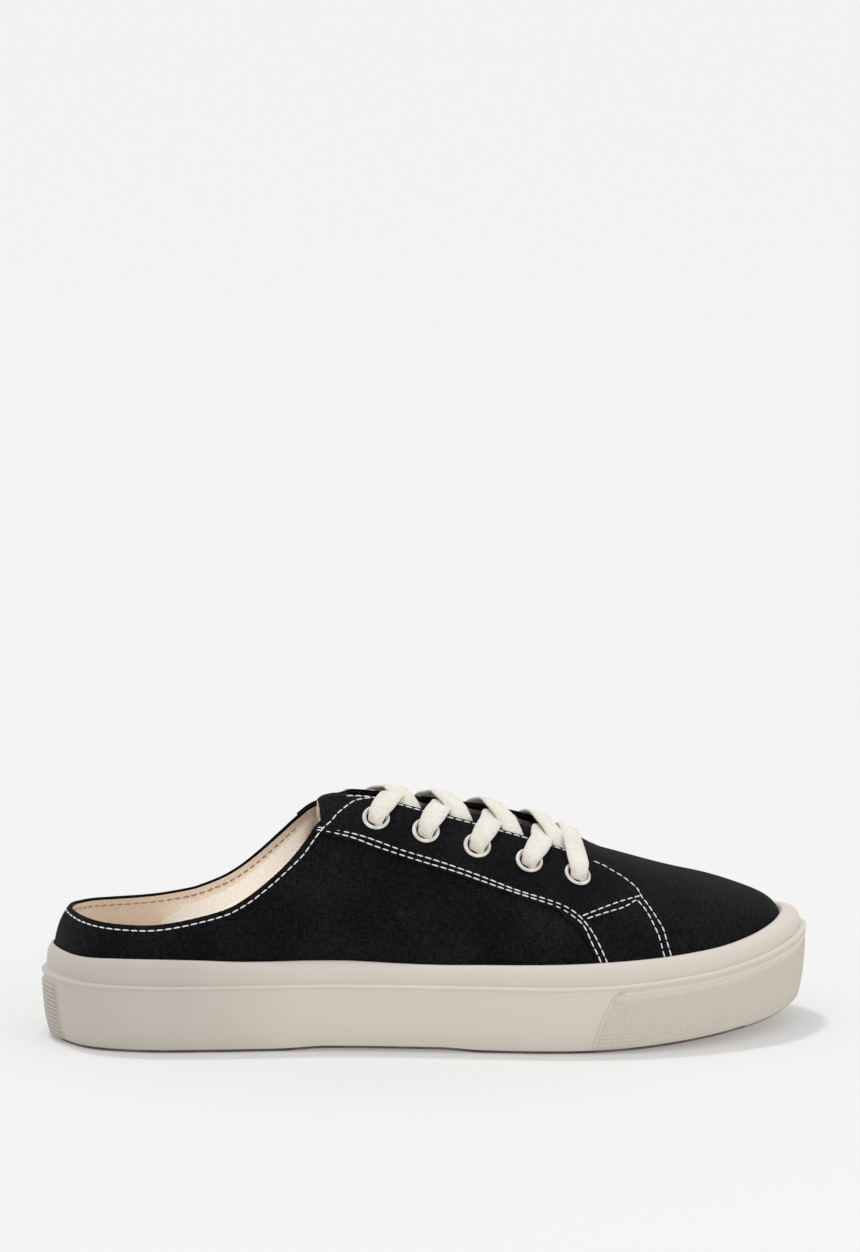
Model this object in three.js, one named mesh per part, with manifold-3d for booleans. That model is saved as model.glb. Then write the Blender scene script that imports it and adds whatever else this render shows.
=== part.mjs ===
// A backless lace-up canvas sneaker with a moulded cup sole, for the right foot, in millimetres.
// +X runs from the heel to the toe, -Y is the outer side of the foot and +Z is up.
import * as THREE from "three";
import { mergeVertices } from "three/addons/utils/BufferGeometryUtils.js";
import Module from "manifold-3d";

const wasm = await Module();
wasm.setup();

// Driving sizes of the sole.
const SOLE_LENGTH = 272;
const BALL_WIDTH = 98;
const RIM_HEIGHT = 31.2;
const RIM_LEDGE = 4.2;
const BEAD_HEIGHT = 24.2;
const BEAD_ROLL = 2.4;
const BEAD_DEPTH = 1.1;
const WALL_TAPER = 4.2;
const TREAD_INSET = 8;
const FLOOR_THICKNESS = 20;
const HEEL_LIFT = 2;
const TOE_SPRING = 7.8;
const TOE_RISE = 2.4;
const ARCH_RISE = 0.8;
const RIB_DEPTH = 0.55;

// Driving sizes of the upper, the insole and the tongue.
const INSTEP_HEIGHT = 85.4;
const COLLAR_HEIGHT = 44;
const CANVAS_WALL = 1.6;
const OVERLAY_WALL = 0.8;
const THROAT_WIDTH = 31;
const THROAT_CENTRE = -1.5;
const TONGUE_WIDTH = 41;
const TONGUE_WALL = 2.2;
const TONGUE_PUFF = 1.7;
const INSOLE_THICKNESS = 5;
const FIT_GAP = 0.3;

// Driving sizes of the trim.
const EYELET_DIAMETER = 10;
const EYELET_HOLE = 5.6;
const EYELET_WALL = 0.6;
const EYELET_HEIGHT = 0.6;
const EYELET_SETBACK = 8;
const LACE_WIDTH = 8;
const LACE_THICKNESS = 1.1;
const LACE_GAP = 0.15;

// How finely the curved faces are cut.
const STATIONS = 30;
const SECTION_STEPS = 7;
const FACET_MERGE = 0.03;

const lerp = THREE.MathUtils.lerp;
const clamp = THREE.MathUtils.clamp;
const smooth = (x, low, high) => THREE.MathUtils.smoothstep(x, low, high);

// The sole's outline seen from above at its widest, as shares of the length and of half the ball width.
const OUTER_EDGE = [
  { along: 0.0, across: 0.0 },
  { along: 0.012, across: -0.25 },
  { along: 0.05, across: -0.53 },
  { along: 0.12, across: -0.685 },
  { along: 0.22, across: -0.73 },
  { along: 0.36, across: -0.745 },
  { along: 0.5, across: -0.855 },
  { along: 0.64, across: -0.985 },
  { along: 0.75, across: -0.985 },
  { along: 0.86, across: -0.82 },
  { along: 0.94, across: -0.54 },
  { along: 0.985, across: -0.2 },
  { along: 1.0, across: 0.16 },
];
const INNER_EDGE = [
  { along: 0.012, across: 0.25 },
  { along: 0.05, across: 0.52 },
  { along: 0.12, across: 0.665 },
  { along: 0.22, across: 0.66 },
  { along: 0.36, across: 0.63 },
  { along: 0.5, across: 0.74 },
  { along: 0.62, across: 0.92 },
  { along: 0.74, across: 1.0 },
  { along: 0.85, across: 0.92 },
  { along: 0.93, across: 0.74 },
  { along: 0.978, across: 0.49 },
];

// Reads one column of a table of rows at a place along it, with a smooth curve between the rows.
function read(table, key, column, at) {
  const last = table.length - 1;
  if (at <= table[0][key]) return table[0][column];
  if (at >= table[last][key]) return table[last][column];
  const i = table.findIndex((row) => row[key] > at) - 1;
  const slope = (k) => {
    const a = table[Math.max(0, k - 1)];
    const b = table[Math.min(last, k + 1)];
    return (b[column] - a[column]) / (b[key] - a[key]);
  };
  const span = table[i + 1][key] - table[i][key];
  const t = (at - table[i][key]) / span;
  return (
    (2 * t ** 3 - 3 * t ** 2 + 1) * table[i][column] +
    (t ** 3 - 2 * t ** 2 + t) * slope(i) * span +
    (3 * t ** 2 - 2 * t ** 3) * table[i + 1][column] +
    (t ** 3 - t ** 2) * slope(i + 1) * span
  );
}

// The closed outline: its first point is the heel's back, and the outer side comes first.
const planPoint = (row) =>
  new THREE.Vector3(row.along * SOLE_LENGTH, (row.across * BALL_WIDTH) / 2, 0);
const outline = new THREE.CatmullRomCurve3(
  [...OUTER_EDGE, ...[...INNER_EDGE].reverse()].map(planPoint),
  true,
  "centripetal",
);
outline.arcLengthDivisions = 800;
const OUTLINE_SAMPLES = 400;
const outlinePoints = outline.getSpacedPoints(OUTLINE_SAMPLES);
const toeShare =
  outlinePoints.reduce((best, p, i) => (p.x > outlinePoints[best].x ? i : best), 0) / OUTLINE_SAMPLES;

// The place on the outline at share u of one side, from the heel's back to the toe's tip,
// and the way out there.
function edgeAt(u, side) {
  const t = side < 0 ? u * toeShare : 1 - u * (1 - toeShare);
  const at = outline.getPointAt(t % 1);
  const along = outline.getTangentAt(t % 1);
  return { at, out: new THREE.Vector3(along.y, -along.x, 0) };
}

// Heights along the length.
const share = (x) => x / SOLE_LENGTH;
const springAt = (x) => TOE_SPRING * Math.max(0, (share(x) - 0.66) / 0.34) ** 1.8;
const bumperRise = (x) => springAt(x) + TOE_RISE * Math.max(0, (share(x) - 0.86) / 0.14) ** 1.4;
const RIM_LINE = [
  { along: 0.0, rise: 0.11 },
  { along: 0.12, rise: 0.06 },
  { along: 0.26, rise: -0.03 },
  { along: 0.38, rise: 0.01 },
  { along: 0.6, rise: 0.01 },
  { along: 0.75, rise: -0.01 },
  { along: 0.9, rise: -0.035 },
  { along: 1.0, rise: 0.02 },
];
const rimAt = (x) => RIM_HEIGHT * (1 + read(RIM_LINE, "along", "rise", share(x))) + bumperRise(x);
const beadAt = (x) => BEAD_HEIGHT + bumperRise(x);
const floorAt = (x) => FLOOR_THICKNESS + HEEL_LIFT * (1 - smooth(share(x), 0.25, 0.65)) + springAt(x);

// The ledge from the sole's widest line in to the canvas, as a share of its width at the heel.
const LEDGE = [
  { along: 0.0, width: 1.0 },
  { along: 0.3, width: 1.1 },
  { along: 0.7, width: 1.2 },
  { along: 0.88, width: 1.57 },
  { along: 1.0, width: 2.2 },
];
const rimWidthAt = (x) => RIM_LEDGE * read(LEDGE, "along", "width", share(x));

// The last: its crown line from the heel to the toe as shares of the instep height, and
// how far they lean in. Over the heel the crown is the line that the leaning heel walls aim at.
const CROWN = [
  { along: 0.0, height: 0.68, lean: 0.0 },
  { along: 0.13, height: 0.69, lean: 0.0 },
  { along: 0.25, height: 0.815, lean: 0.02 },
  { along: 0.36, height: 0.995, lean: 0.06 },
  { along: 0.44, height: 1.0, lean: 0.1 },
  { along: 0.55, height: 0.95, lean: 0.16 },
  { along: 0.66, height: 0.846, lean: 0.2 },
  { along: 0.735, height: 0.75, lean: 0.2 },
  { along: 0.83, height: 0.67, lean: 0.14 },
  { along: 0.92, height: 0.622, lean: 0.08 },
  { along: 1.0, height: 0.625, lean: 0.06 },
];
const crownAt = (x) => INSTEP_HEIGHT * read(CROWN, "along", "height", share(x));
const leanAt = (x) => read(CROWN, "along", "lean", share(x));
const FEATHER_DROP = 2;
const HEEL_CENTRE = 0.13;
const TOE_CENTRE = 0.83;
const CENTRE_SOFTNESS = 0.035;

const softRise = (d) => CENTRE_SOFTNESS * Math.log1p(Math.exp(d / CENTRE_SOFTNESS));

// The last's feather edge: the sole's outline taken in by the rim's width.
function featherAt(u, side) {
  const edge = edgeAt(u, side);
  return edge.at.clone().addScaledVector(edge.out, -rimWidthAt(edge.at.x));
}

// The line under the crown that the sections of both sides share.
function spineAt(u) {
  const a = featherAt(u, -1);
  const b = featherAt(u, 1);
  const middle = share((a.x + b.x) / 2);
  const along = HEEL_CENTRE + softRise(middle - HEEL_CENTRE) - softRise(middle - TOE_CENTRE);
  const ends = clamp(Math.min(u, 1 - u) / 0.12, 0, 1);
  const mid = (a.y + b.y) / 2;
  const bend = u < 0.5 ? lerp(featherAt(0.12, 0).y, mid, ends) : mid;
  const across = u < 0.5 ? lerp(0, bend, ends) : mid * lerp(0.9, 1, ends);
  return new THREE.Vector3(along * SOLE_LENGTH, across, 0);
}

// A point on the last: u runs from heel to toe, side is -1 or 1, and climb runs from 0 at the
// feather edge to 1 at the crown.
function lastPoint(u, side, climb) {
  const foot = featherAt(u, side);
  const spine = spineAt(u);
  const angle = (climb * Math.PI) / 2;
  const lean = leanAt(lerp(foot.x, spine.x, climb));
  const inward = 1 - Math.cos(angle) * (1 - lean * Math.sin(angle));
  const point = foot.lerp(spine, inward);
  const start = rimAt(featherAt(u, side).x) - FEATHER_DROP;
  point.z = start + (crownAt(point.x) - start) * Math.sin(angle);
  return point;
}

// The same point moved out from the surface by an offset.
function lastOffset(u, side, climb, offset) {
  const step = 0.004;
  const point = lastPoint(u, side, climb);
  const [u0, u1] = [Math.max(0, u - step), Math.min(1, u + step)];
  const [c0, c1] = [Math.max(0, climb - step), Math.min(1, climb + step)];
  const alongU = lastPoint(u1, side, climb).sub(lastPoint(u0, side, climb));
  const up = lastPoint(u, side, c1).sub(lastPoint(u, side, c0));
  const normal = new THREE.Vector3().crossVectors(alongU, up).multiplyScalar(-side).normalize();
  if (climb === 1) normal.y = 0;
  if (u === 0 || u === 1) normal.copy(endNormal(u, climb));
  return point.addScaledVector(normal.normalize(), offset);
}

// The way out at the very heel and toe, where both sides meet.
function endNormal(u, climb) {
  const step = 0.004;
  const toSpine = spineAt(u).sub(featherAt(u, 1));
  const up = lastPoint(u, 1, Math.min(1, climb + step)).sub(lastPoint(u, 1, Math.max(0, climb - step)));
  const sideways = new THREE.Vector3(-toSpine.y, toSpine.x, 0);
  const normal = new THREE.Vector3().crossVectors(up, sideways).normalize();
  return normal.z < 0 || (normal.z < 0.02 && normal.dot(toSpine) > 0) ? normal.negate() : normal;
}

// The place on the last over a point of the plan, then moved out by a lift, and the way out there.
const PLAN_GRID = [];
for (const side of [-1, 1]) {
  for (let u = 1 / 60; u < 0.999; u += 1 / 60) {
    for (let j = 0; j <= 14; j++) {
      const climb = j / 14;
      PLAN_GRID.push({ side, u, climb, at: lastPoint(u, side, climb) });
    }
  }
}

function lastAt(x, y, lift) {
  const away = (p) => (p.at.x - x) ** 2 + (p.at.y - y) ** 2;
  let { side, u, climb } = PLAN_GRID.reduce((best, p) => (away(p) < away(best) ? p : best));
  const miss = (a, b) => {
    const p = lastPoint(a, side, b);
    return [p.x - x, p.y - y];
  };
  for (let turn = 0; turn < 12; turn++) {
    const step = 0.003;
    const [dx, dy] = miss(u, climb);
    const [ax, ay] = miss(u + step, climb).map((v, i) => (v - [dx, dy][i]) / step);
    const inside = climb > 0.99 ? -step : step;
    const [bx, by] = miss(u, climb + inside).map((v, i) => (v - [dx, dy][i]) / inside);
    const det = ax * by - bx * ay;
    u = clamp(u - (dx * by - bx * dy) / det, 0.01, 0.99);
    climb = climb - (ax * dy - dx * ay) / det;
    if (climb > 1) {
      side = -side;
      climb = 2 - climb;
    }
  }
  const base = lastPoint(u, side, climb);
  const normal = lastOffset(u, side, climb, 1).sub(base).normalize();
  return { point: base.addScaledVector(normal, lift), normal };
}

// Solids and meshes.
function solidOf(geometry) {
  const bare = geometry.index ? geometry.toNonIndexed() : geometry.clone();
  for (const name of ["normal", "uv"]) bare.deleteAttribute(name);
  const merged = mergeVertices(bare, 1e-4);
  return new wasm.Manifold(
    new wasm.Mesh({
      numProp: 3,
      vertProperties: new Float32Array(merged.attributes.position.array),
      triVerts: new Uint32Array(merged.index.array),
    }),
  );
}

function geometryOf(solid) {
  const mesh = solid.getMesh();
  const geometry = new THREE.BufferGeometry();
  geometry.setAttribute("position", new THREE.BufferAttribute(mesh.vertProperties, 3));
  geometry.setIndex(new THREE.BufferAttribute(mesh.triVerts, 1));
  return geometry;
}

function solidFrom(points, faces) {
  const geometry = new THREE.BufferGeometry();
  const numbers = points.flatMap((p) => [p.x, p.y, p.z]);
  geometry.setAttribute("position", new THREE.Float32BufferAttribute(numbers, 3));
  geometry.setIndex(faces.flat());
  return solidOf(geometry);
}

// The filled last at an offset, with its bottom at a given height below the feather edge.
function lastSolid(offset, bottomAt) {
  const points = [];
  const columns = [];
  const add = (p) => points.push(p) - 1;
  for (let i = 0; i <= STATIONS; i++) {
    const u = i / STATIONS;
    const half = (side) => {
      const column = [];
      for (let j = 0; j < SECTION_STEPS; j++) {
        column.push(add(lastOffset(u, side, j / SECTION_STEPS, offset)));
      }
      const foot = points[column[0]].clone();
      foot.z = bottomAt(foot.x);
      return [add(foot), ...column];
    };
    const outer = half(-1);
    const inner = i === 0 || i === STATIONS ? outer : half(1);
    const top = add(lastOffset(u, -1, 1, offset));
    columns.push({ outer: [...outer, top], inner: [...inner, top] });
  }
  const faces = [];
  for (let i = 0; i < STATIONS; i++) {
    const [a, b] = [columns[i], columns[i + 1]];
    for (let j = 0; j <= SECTION_STEPS; j++) {
      faces.push([a.outer[j], b.outer[j], b.outer[j + 1]]);
      faces.push([a.outer[j], b.outer[j + 1], a.outer[j + 1]]);
      faces.push([a.inner[j], b.inner[j + 1], b.inner[j]]);
      faces.push([a.inner[j], a.inner[j + 1], b.inner[j + 1]]);
    }
    if (i > 0) faces.push([a.outer[0], a.inner[0], b.outer[0]]);
    if (i < STATIONS - 1) faces.push([a.inner[0], b.inner[0], b.outer[0]]);
  }
  return solidFrom(points, faces);
}

const seat = (x) => floorAt(x) + FIT_GAP;
const below = (x) => floorAt(x) - 2;
const lastOuter = lastSolid(0, seat);
const lastInner = lastSolid(-CANVAS_WALL, below);

// The collar's line seen from the side: how far it rises from the collar's height to the instep's.
const COLLAR = [
  { along: -0.1, rise: 0.085 },
  { along: 0.02, rise: 0.064 },
  { along: 0.05, rise: 0.02 },
  { along: 0.09, rise: 0.0 },
  { along: 0.14, rise: 0.0 },
  { along: 0.185, rise: 0.043 },
  { along: 0.235, rise: 0.128 },
  { along: 0.26, rise: 0.213 },
  { along: 0.285, rise: 0.33 },
  { along: 0.31, rise: 0.468 },
  { along: 0.33, rise: 0.606 },
  { along: 0.35, rise: 0.766 },
  { along: 0.37, rise: 0.872 },
  { along: 0.39, rise: 0.935 },
  { along: 0.43, rise: 1.06 },
];
function collarCutter() {
  const shape = new THREE.Shape();
  const points = [];
  const steps = 22;
  for (let k = 0; k <= steps; k++) {
    const along = lerp(COLLAR[0].along, COLLAR.at(-1).along, k / steps);
    const rise = read(COLLAR, "along", "rise", along);
    points.push([along * SOLE_LENGTH, lerp(COLLAR_HEIGHT, INSTEP_HEIGHT, rise)]);
  }
  shape.moveTo(...points[0]);
  for (const p of points.slice(1)) shape.lineTo(...p);
  shape.lineTo(points.at(-1)[0], 2 * INSTEP_HEIGHT);
  shape.lineTo(points[0][0], 2 * INSTEP_HEIGHT);
  const geometry = new THREE.ExtrudeGeometry(shape, { depth: 2 * BALL_WIDTH, bevelEnabled: false });
  geometry.rotateX(Math.PI / 2).translate(0, BALL_WIDTH, 0);
  return solidOf(geometry);
}

// The throat seen from above: half its width as a share of the widest, on both sides of its
// middle line.
const THROAT = [
  { along: 0.3, half: 0.46 },
  { along: 0.42, half: 0.48 },
  { along: 0.455, half: 0.645 },
  { along: 0.485, half: 0.775 },
  { along: 0.53, half: 0.89 },
  { along: 0.57, half: 0.96 },
  { along: 0.62, half: 1.0 },
  { along: 0.68, half: 1.0 },
  { along: 0.689, half: 0.965 },
  { along: 0.695, half: 0.84 },
];
const throatHalf = (x) => (THROAT_WIDTH / 2) * read(THROAT, "along", "half", share(x));
function throatCutter() {
  const shape = new THREE.Shape();
  const steps = 12;
  const edge = [];
  for (let k = 0; k <= steps; k++) {
    const part = Math.sin((k / steps) * (Math.PI / 2));
    const along = lerp(THROAT[0].along, THROAT.at(-1).along, part);
    edge.push([along * SOLE_LENGTH, throatHalf(along * SOLE_LENGTH)]);
  }
  shape.moveTo(edge[0][0], -edge[0][1]);
  for (const [x, half] of edge.slice(1)) shape.lineTo(x, -half);
  for (const [x, half] of edge.reverse()) shape.lineTo(x, half);
  const geometry = new THREE.ExtrudeGeometry(shape, { depth: INSTEP_HEIGHT, bevelEnabled: false });
  geometry.translate(0, THROAT_CENTRE, COLLAR_HEIGHT);
  return solidOf(geometry);
}

const openings = collarCutter().add(throatCutter());
const canvas = lastOuter.subtract(lastInner).subtract(openings);

// The sole is one moulding: its wall, bead and rim are rings round the outline, and its cup
// holds the upper.
const bottomAt = (x) => {
  const arch = ARCH_RISE * smooth(share(x), 0.3, 0.36) * (1 - smooth(share(x), 0.5, 0.56));
  return arch + springAt(x);
};
// Its rings: how far up each part of the side, and how far in, as a share of the taper, the bead
// or the ledge.
const SOLE_WALL = [
  { climb: 0.0, inset: 1.0 },
  { climb: 0.05, inset: 0.7 },
  { climb: 0.42, inset: 0.29 },
  { climb: 1.0, inset: 0.07 },
];
const SOLE_BEAD = [
  { climb: 0.55, inset: 0.0 },
  { climb: 1.0, inset: 0.32 },
];
const SOLE_BAND = [
  { climb: 0.07, inset: 0.11 },
  { climb: 0.66, inset: 0.29 },
  { climb: 0.89, inset: 0.52 },
  { climb: 1.0, inset: 0.87 },
];

const around = 2 * STATIONS;
const edgeNumber = (k) => (k <= STATIONS ? edgeAt(k / STATIONS, -1) : edgeAt(2 - k / STATIONS, 1));

// One ring round the outline, taken in and set at a height that may both change along the length.
function ringOf(insetAt, levelAt) {
  return Array.from({ length: around }, (_, k) => {
    const { at, out } = edgeNumber(k);
    const point = at.clone().addScaledVector(out, -insetAt(at.x));
    point.z = levelAt(point.x);
    return point;
  });
}

// Rings stacked on each other and closed at both ends.
function stackRings(rings) {
  const faces = [];
  for (let r = 0; r < rings.length - 1; r++) {
    for (let k = 0; k < around; k++) {
      const [a, b] = [r * around + k, r * around + ((k + 1) % around)];
      const [c, d] = [a + around, b + around];
      faces.push([a, b, d], [a, d, c]);
    }
  }
  const cap = (first, order) => {
    for (let k = 0; k < STATIONS; k++) {
      const [a, b] = [first + k, first + k + 1];
      const [c, d] = [first + ((around - k) % around), first + around - k - 1];
      if (k > 0) faces.push(order([a, c, b]));
      if (k < STATIONS - 1) faces.push(order([c, d, b]));
    }
  };
  cap(0, (face) => face);
  cap((rings.length - 1) * around, (face) => face.reverse());
  return solidFrom(rings.flat(), faces);
}

const wallLevel = (x, climb) => lerp(bottomAt(x), beadAt(x) - BEAD_ROLL, climb);
const wallInset = (climb) => WALL_TAPER * read(SOLE_WALL, "climb", "inset", climb);

function soleBody() {
  const cupInset = (x) => rimWidthAt(x) - FIT_GAP;
  return stackRings([
    ringOf(() => TREAD_INSET, bottomAt),
    ...SOLE_WALL.map((row) =>
      ringOf(
        () => WALL_TAPER * row.inset,
        (x) => wallLevel(x, row.climb),
      ),
    ),
    ...SOLE_BEAD.map((row) =>
      ringOf(
        () => BEAD_DEPTH * row.inset,
        (x) => beadAt(x) - BEAD_ROLL * (1 - row.climb),
      ),
    ),
    ...SOLE_BAND.map((row) =>
      ringOf(
        (x) => lerp(BEAD_DEPTH, rimWidthAt(x), row.inset),
        (x) => lerp(beadAt(x), rimAt(x), row.climb),
      ),
    ),
    ringOf(cupInset, (x) => lerp(floorAt(x), rimAt(x), 0.95)),
    ringOf(cupInset, floorAt),
  ]);
}

// A ribbed patch on the wall. Its ends may slant: low and high give where each begins and ends
// on the outline, counted in shares of each side from the heel's back, the inner side below zero.
const PATCHES = {
  toe: {
    low: [0.668, -0.668],
    high: [0.693, -0.693],
    climb: [0.12, 0.92],
    ribs: 7,
  },
  heel: {
    low: [0.062, -0.062],
    high: [0.055, -0.055],
    climb: [0.12, 0.95],
    ribs: 7,
  },
};
const RIB_SINK = 1.2;
const RIB_BASE = 0.2;
const RIB_FRAME = 1.6;

// Its columns stand at the stations of the wall, so that each facet lies square over one of the
// wall's own, with a frame at both ends.
function ribbedPatch(row, overToe) {
  const turn = (t) => (overToe && t < 0 ? 2 + t : t);
  const placeAt = (t) => {
    if (overToe) return t <= 1 ? edgeAt(t, -1) : edgeAt(2 - t, 1);
    return edgeAt(Math.abs(t), t > 0 ? -1 : 1);
  };
  const rows = 2 * row.ribs + 3;
  const frame = (2 * RIB_FRAME) / outline.getLength();
  const ends = [...row.low, ...row.high].map(turn).sort((a, b) => a - b);
  const stations = [];
  for (let k = -STATIONS; k <= 2 * STATIONS; k++) {
    const t = k / STATIONS;
    if (t > ends[1] + frame && t < ends[2] - frame) stations.push(t);
  }
  const downward = turn(row.low[0]) > turn(row.low[1]);
  const skin = (i, proudAt) => {
    const part = i / (rows - 1);
    const climb = lerp(...row.climb, part);
    const from = turn(lerp(row.low[0], row.high[0], part));
    const to = turn(lerp(row.low[1], row.high[1], part));
    const [first, last] = [Math.min(from, to), Math.max(from, to)];
    const columns = [first, first + frame, ...stations, last - frame, last];
    if (downward) columns.reverse();
    return columns.map((t, j) => {
      const { at, out } = placeAt(t);
      const framed = j < 1 || j > columns.length - 2;
      const point = at.clone().addScaledVector(out, proudAt(i, framed) - wallInset(climb));
      point.z = wallLevel(point.x, climb);
      return point;
    });
  };
  const ribs = (i, framed) => {
    const border = framed || i < 1 || i > rows - 2;
    return border || i % 2 === 0 ? RIB_DEPTH : RIB_BASE;
  };
  const outer = Array.from({ length: rows }, (_, i) => skin(i, ribs));
  const inner = [0, rows - 1].map((i) => skin(i, () => -RIB_SINK));
  return slabSolid(outer, inner, overToe);
}

// Closes an outer and an inner grid of points with the same number of columns into a solid.
function slabSolid(outer, inner, flip) {
  const points = [...outer.flat(), ...inner.flat()];
  const wide = outer[0].length;
  const [tall, deep] = [outer.length, inner.length];
  const front = (i, j) => i * wide + j;
  const back = (i, j) => (tall + i) * wide + j;
  const faces = [];
  const quad = (a, b, c, d) => faces.push([a, b, c], [a, c, d]);
  for (let j = 0; j < wide - 1; j++) {
    for (let i = 0; i < tall - 1; i++) {
      quad(front(i, j), front(i, j + 1), front(i + 1, j + 1), front(i + 1, j));
    }
    for (let i = 0; i < deep - 1; i++) {
      quad(back(i, j), back(i + 1, j), back(i + 1, j + 1), back(i, j + 1));
    }
    quad(front(0, j), back(0, j), back(0, j + 1), front(0, j + 1));
    quad(front(tall - 1, j), front(tall - 1, j + 1), back(deep - 1, j + 1), back(deep - 1, j));
  }
  for (const j of [0, wide - 1]) {
    const order = (face) => faces.push(j === 0 ? face : face.reverse());
    for (let i = 0; i < tall - 1; i++) order([back(0, j), front(i, j), front(i + 1, j)]);
    for (let i = 0; i < deep - 1; i++) order([back(i, j), front(tall - 1, j), back(i + 1, j)]);
  }
  return solidFrom(points, flip ? faces : faces.map((face) => face.reverse()));
}

const sole = soleBody().add(ribbedPatch(PATCHES.toe, true)).add(ribbedPatch(PATCHES.heel, false));

// The insole lies on the cup's floor and fills the inside of the upper.
const insoleInset = (extra) => (x) => rimWidthAt(x) + CANVAS_WALL + FIT_GAP + extra;
const insole = stackRings([
  ringOf(insoleInset(0), (x) => seat(x)),
  ringOf(insoleInset(0), (x) => seat(x) + INSOLE_THICKNESS - 1),
  ringOf(insoleInset(1.4), (x) => seat(x) + INSOLE_THICKNESS),
]);

// The tongue lies under the throat. It is let down for the laces, and it puffs up behind them.
const TONGUE_DROP = LACE_THICKNESS + 0.9;
const TONGUE = [
  { along: 0.354, half: 0.9, drop: 0.3, puff: 1.0 },
  { along: 0.385, half: 0.98, drop: 0.3, puff: 0.9 },
  { along: 0.42, half: 1.0, drop: 0.8, puff: 0.12 },
  { along: 0.46, half: 1.0, drop: 1.0, puff: 0 },
  { along: 0.68, half: 0.93, drop: 1.0, puff: 0 },
  { along: 0.715, half: 0.88, drop: 0.35, puff: 0 },
  { along: 0.75, half: 0.8, drop: 0.35, puff: 0 },
];
const TONGUE_STEPS_ALONG = 12;
const TONGUE_STEPS_ACROSS = 8;

function tongueSolid() {
  const grid = (depth) =>
    Array.from({ length: TONGUE_STEPS_ALONG + 1 }, (_, i) => {
      const along = lerp(TONGUE[0].along, TONGUE.at(-1).along, i / TONGUE_STEPS_ALONG);
      const half = (TONGUE_WIDTH / 2) * read(TONGUE, "along", "half", along);
      const drop = TONGUE_DROP * read(TONGUE, "along", "drop", along);
      const puff = TONGUE_PUFF * read(TONGUE, "along", "puff", along);
      const round = Math.max(0, 1 - (along - TONGUE[0].along) / 0.012);
      return Array.from({ length: TONGUE_STEPS_ACROSS + 1 }, (__, j) => {
        const across = lerp(-1, 1, j / TONGUE_STEPS_ACROSS);
        const x = (along + 0.018 * round * Math.abs(across) ** 6) * SOLE_LENGTH;
        const reach = Math.min(1, Math.abs(half * across) / (throatHalf(x) - FIT_GAP));
        const raise = puff * Math.cos((reach * Math.PI) / 2) - drop;
        const lift = raise - CANVAS_WALL - FIT_GAP - depth;
        return lastAt(x, THROAT_CENTRE + half * across, lift).point;
      });
    });
  return slabSolid(grid(0), grid(TONGUE_WALL), false);
}

const tongue = tongueSolid();

// The pieces sewn over the quarter: an eyestay and a side panel on each side. Their lines are
// seen from the side as shares of the length and of the instep height, and their front edge is
// seen from above.
const EYESTAY_LINE = [
  { along: 0.3, height: 0.875 },
  { along: 0.351, height: 0.853 },
  { along: 0.391, height: 0.83 },
  { along: 0.43, height: 0.79 },
  { along: 0.478, height: 0.741 },
  { along: 0.529, height: 0.694 },
  { along: 0.577, height: 0.641 },
  { along: 0.629, height: 0.587 },
  { along: 0.651, height: 0.561 },
  { along: 0.667, height: 0.532 },
  { along: 0.681, height: 0.495 },
  { along: 0.691, height: 0.435 },
  { along: 0.7, height: 0.37 },
  { along: 0.705, height: 0.33 },
];
const PANEL_LINE = [
  { along: 0.672, height: 0.51 },
  { along: 0.687, height: 0.516 },
  { along: 0.718, height: 0.532 },
  { along: 0.742, height: 0.545 },
  { along: 0.763, height: 0.565 },
  { along: 0.83, height: 0.64 },
];
const FRONT_EDGE = [
  { along: 0.65, across: 0.2 },
  { along: 0.7, across: 0.285 },
  { along: 0.72, across: 0.29 },
  { along: 0.742, across: 0.32 },
  { along: 0.76, across: 0.38 },
  { along: 0.77, across: 0.45 },
  { along: 0.78, across: 0.54 },
  { along: 0.793, across: 0.65 },
  { along: 0.799, across: 0.75 },
  { along: 0.803, across: 1.2 },
];

const sideView = (row) => [row.along * SOLE_LENGTH, row.height * INSTEP_HEIGHT];

// A flat shape seen from the side, pushed through one half of the shoe.
function sidePrism(corners, side) {
  const shape = new THREE.Shape(corners.map(([x, z]) => new THREE.Vector2(x, z)));
  const geometry = new THREE.ExtrudeGeometry(shape, { depth: BALL_WIDTH, bevelEnabled: false });
  geometry.rotateX(Math.PI / 2);
  geometry.translate(0, side < 0 ? THROAT_CENTRE : THROAT_CENTRE + BALL_WIDTH, 0);
  return solidOf(geometry);
}

// Everything behind the front edge of the sewn pieces on one side, seen from above.
function behindFrontEdge(side) {
  const edge = FRONT_EDGE.map((row) => [
    row.along * SOLE_LENGTH,
    THROAT_CENTRE + side * row.across * (BALL_WIDTH / 2),
  ]);
  const start = [
    [0, THROAT_CENTRE],
    [edge[0][0], THROAT_CENTRE],
  ];
  const corners = [...start, ...edge, [0, edge.at(-1)[1]]];
  const shape = new THREE.Shape(corners.map(([x, y]) => new THREE.Vector2(x, y)));
  const depth = 2 * INSTEP_HEIGHT;
  return solidOf(new THREE.ExtrudeGeometry(shape, { depth, bevelEnabled: false }));
}

const underOverlay = lastSolid(FIT_GAP, (x) => below(x) - 2);
const overlayShell = lastSolid(FIT_GAP + OVERLAY_WALL, below).subtract(underOverlay);
const panelSplit = PANEL_LINE.map(sideView);
const rimCorners = [0.706, 0.73, 0.77, 0.81].map((along) => {
  const x = along * SOLE_LENGTH;
  return [x, rimAt(x) + FIT_GAP];
});
const belowSplit = (corners) => corners.map(([x, z]) => [x, z - FIT_GAP]);

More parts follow.
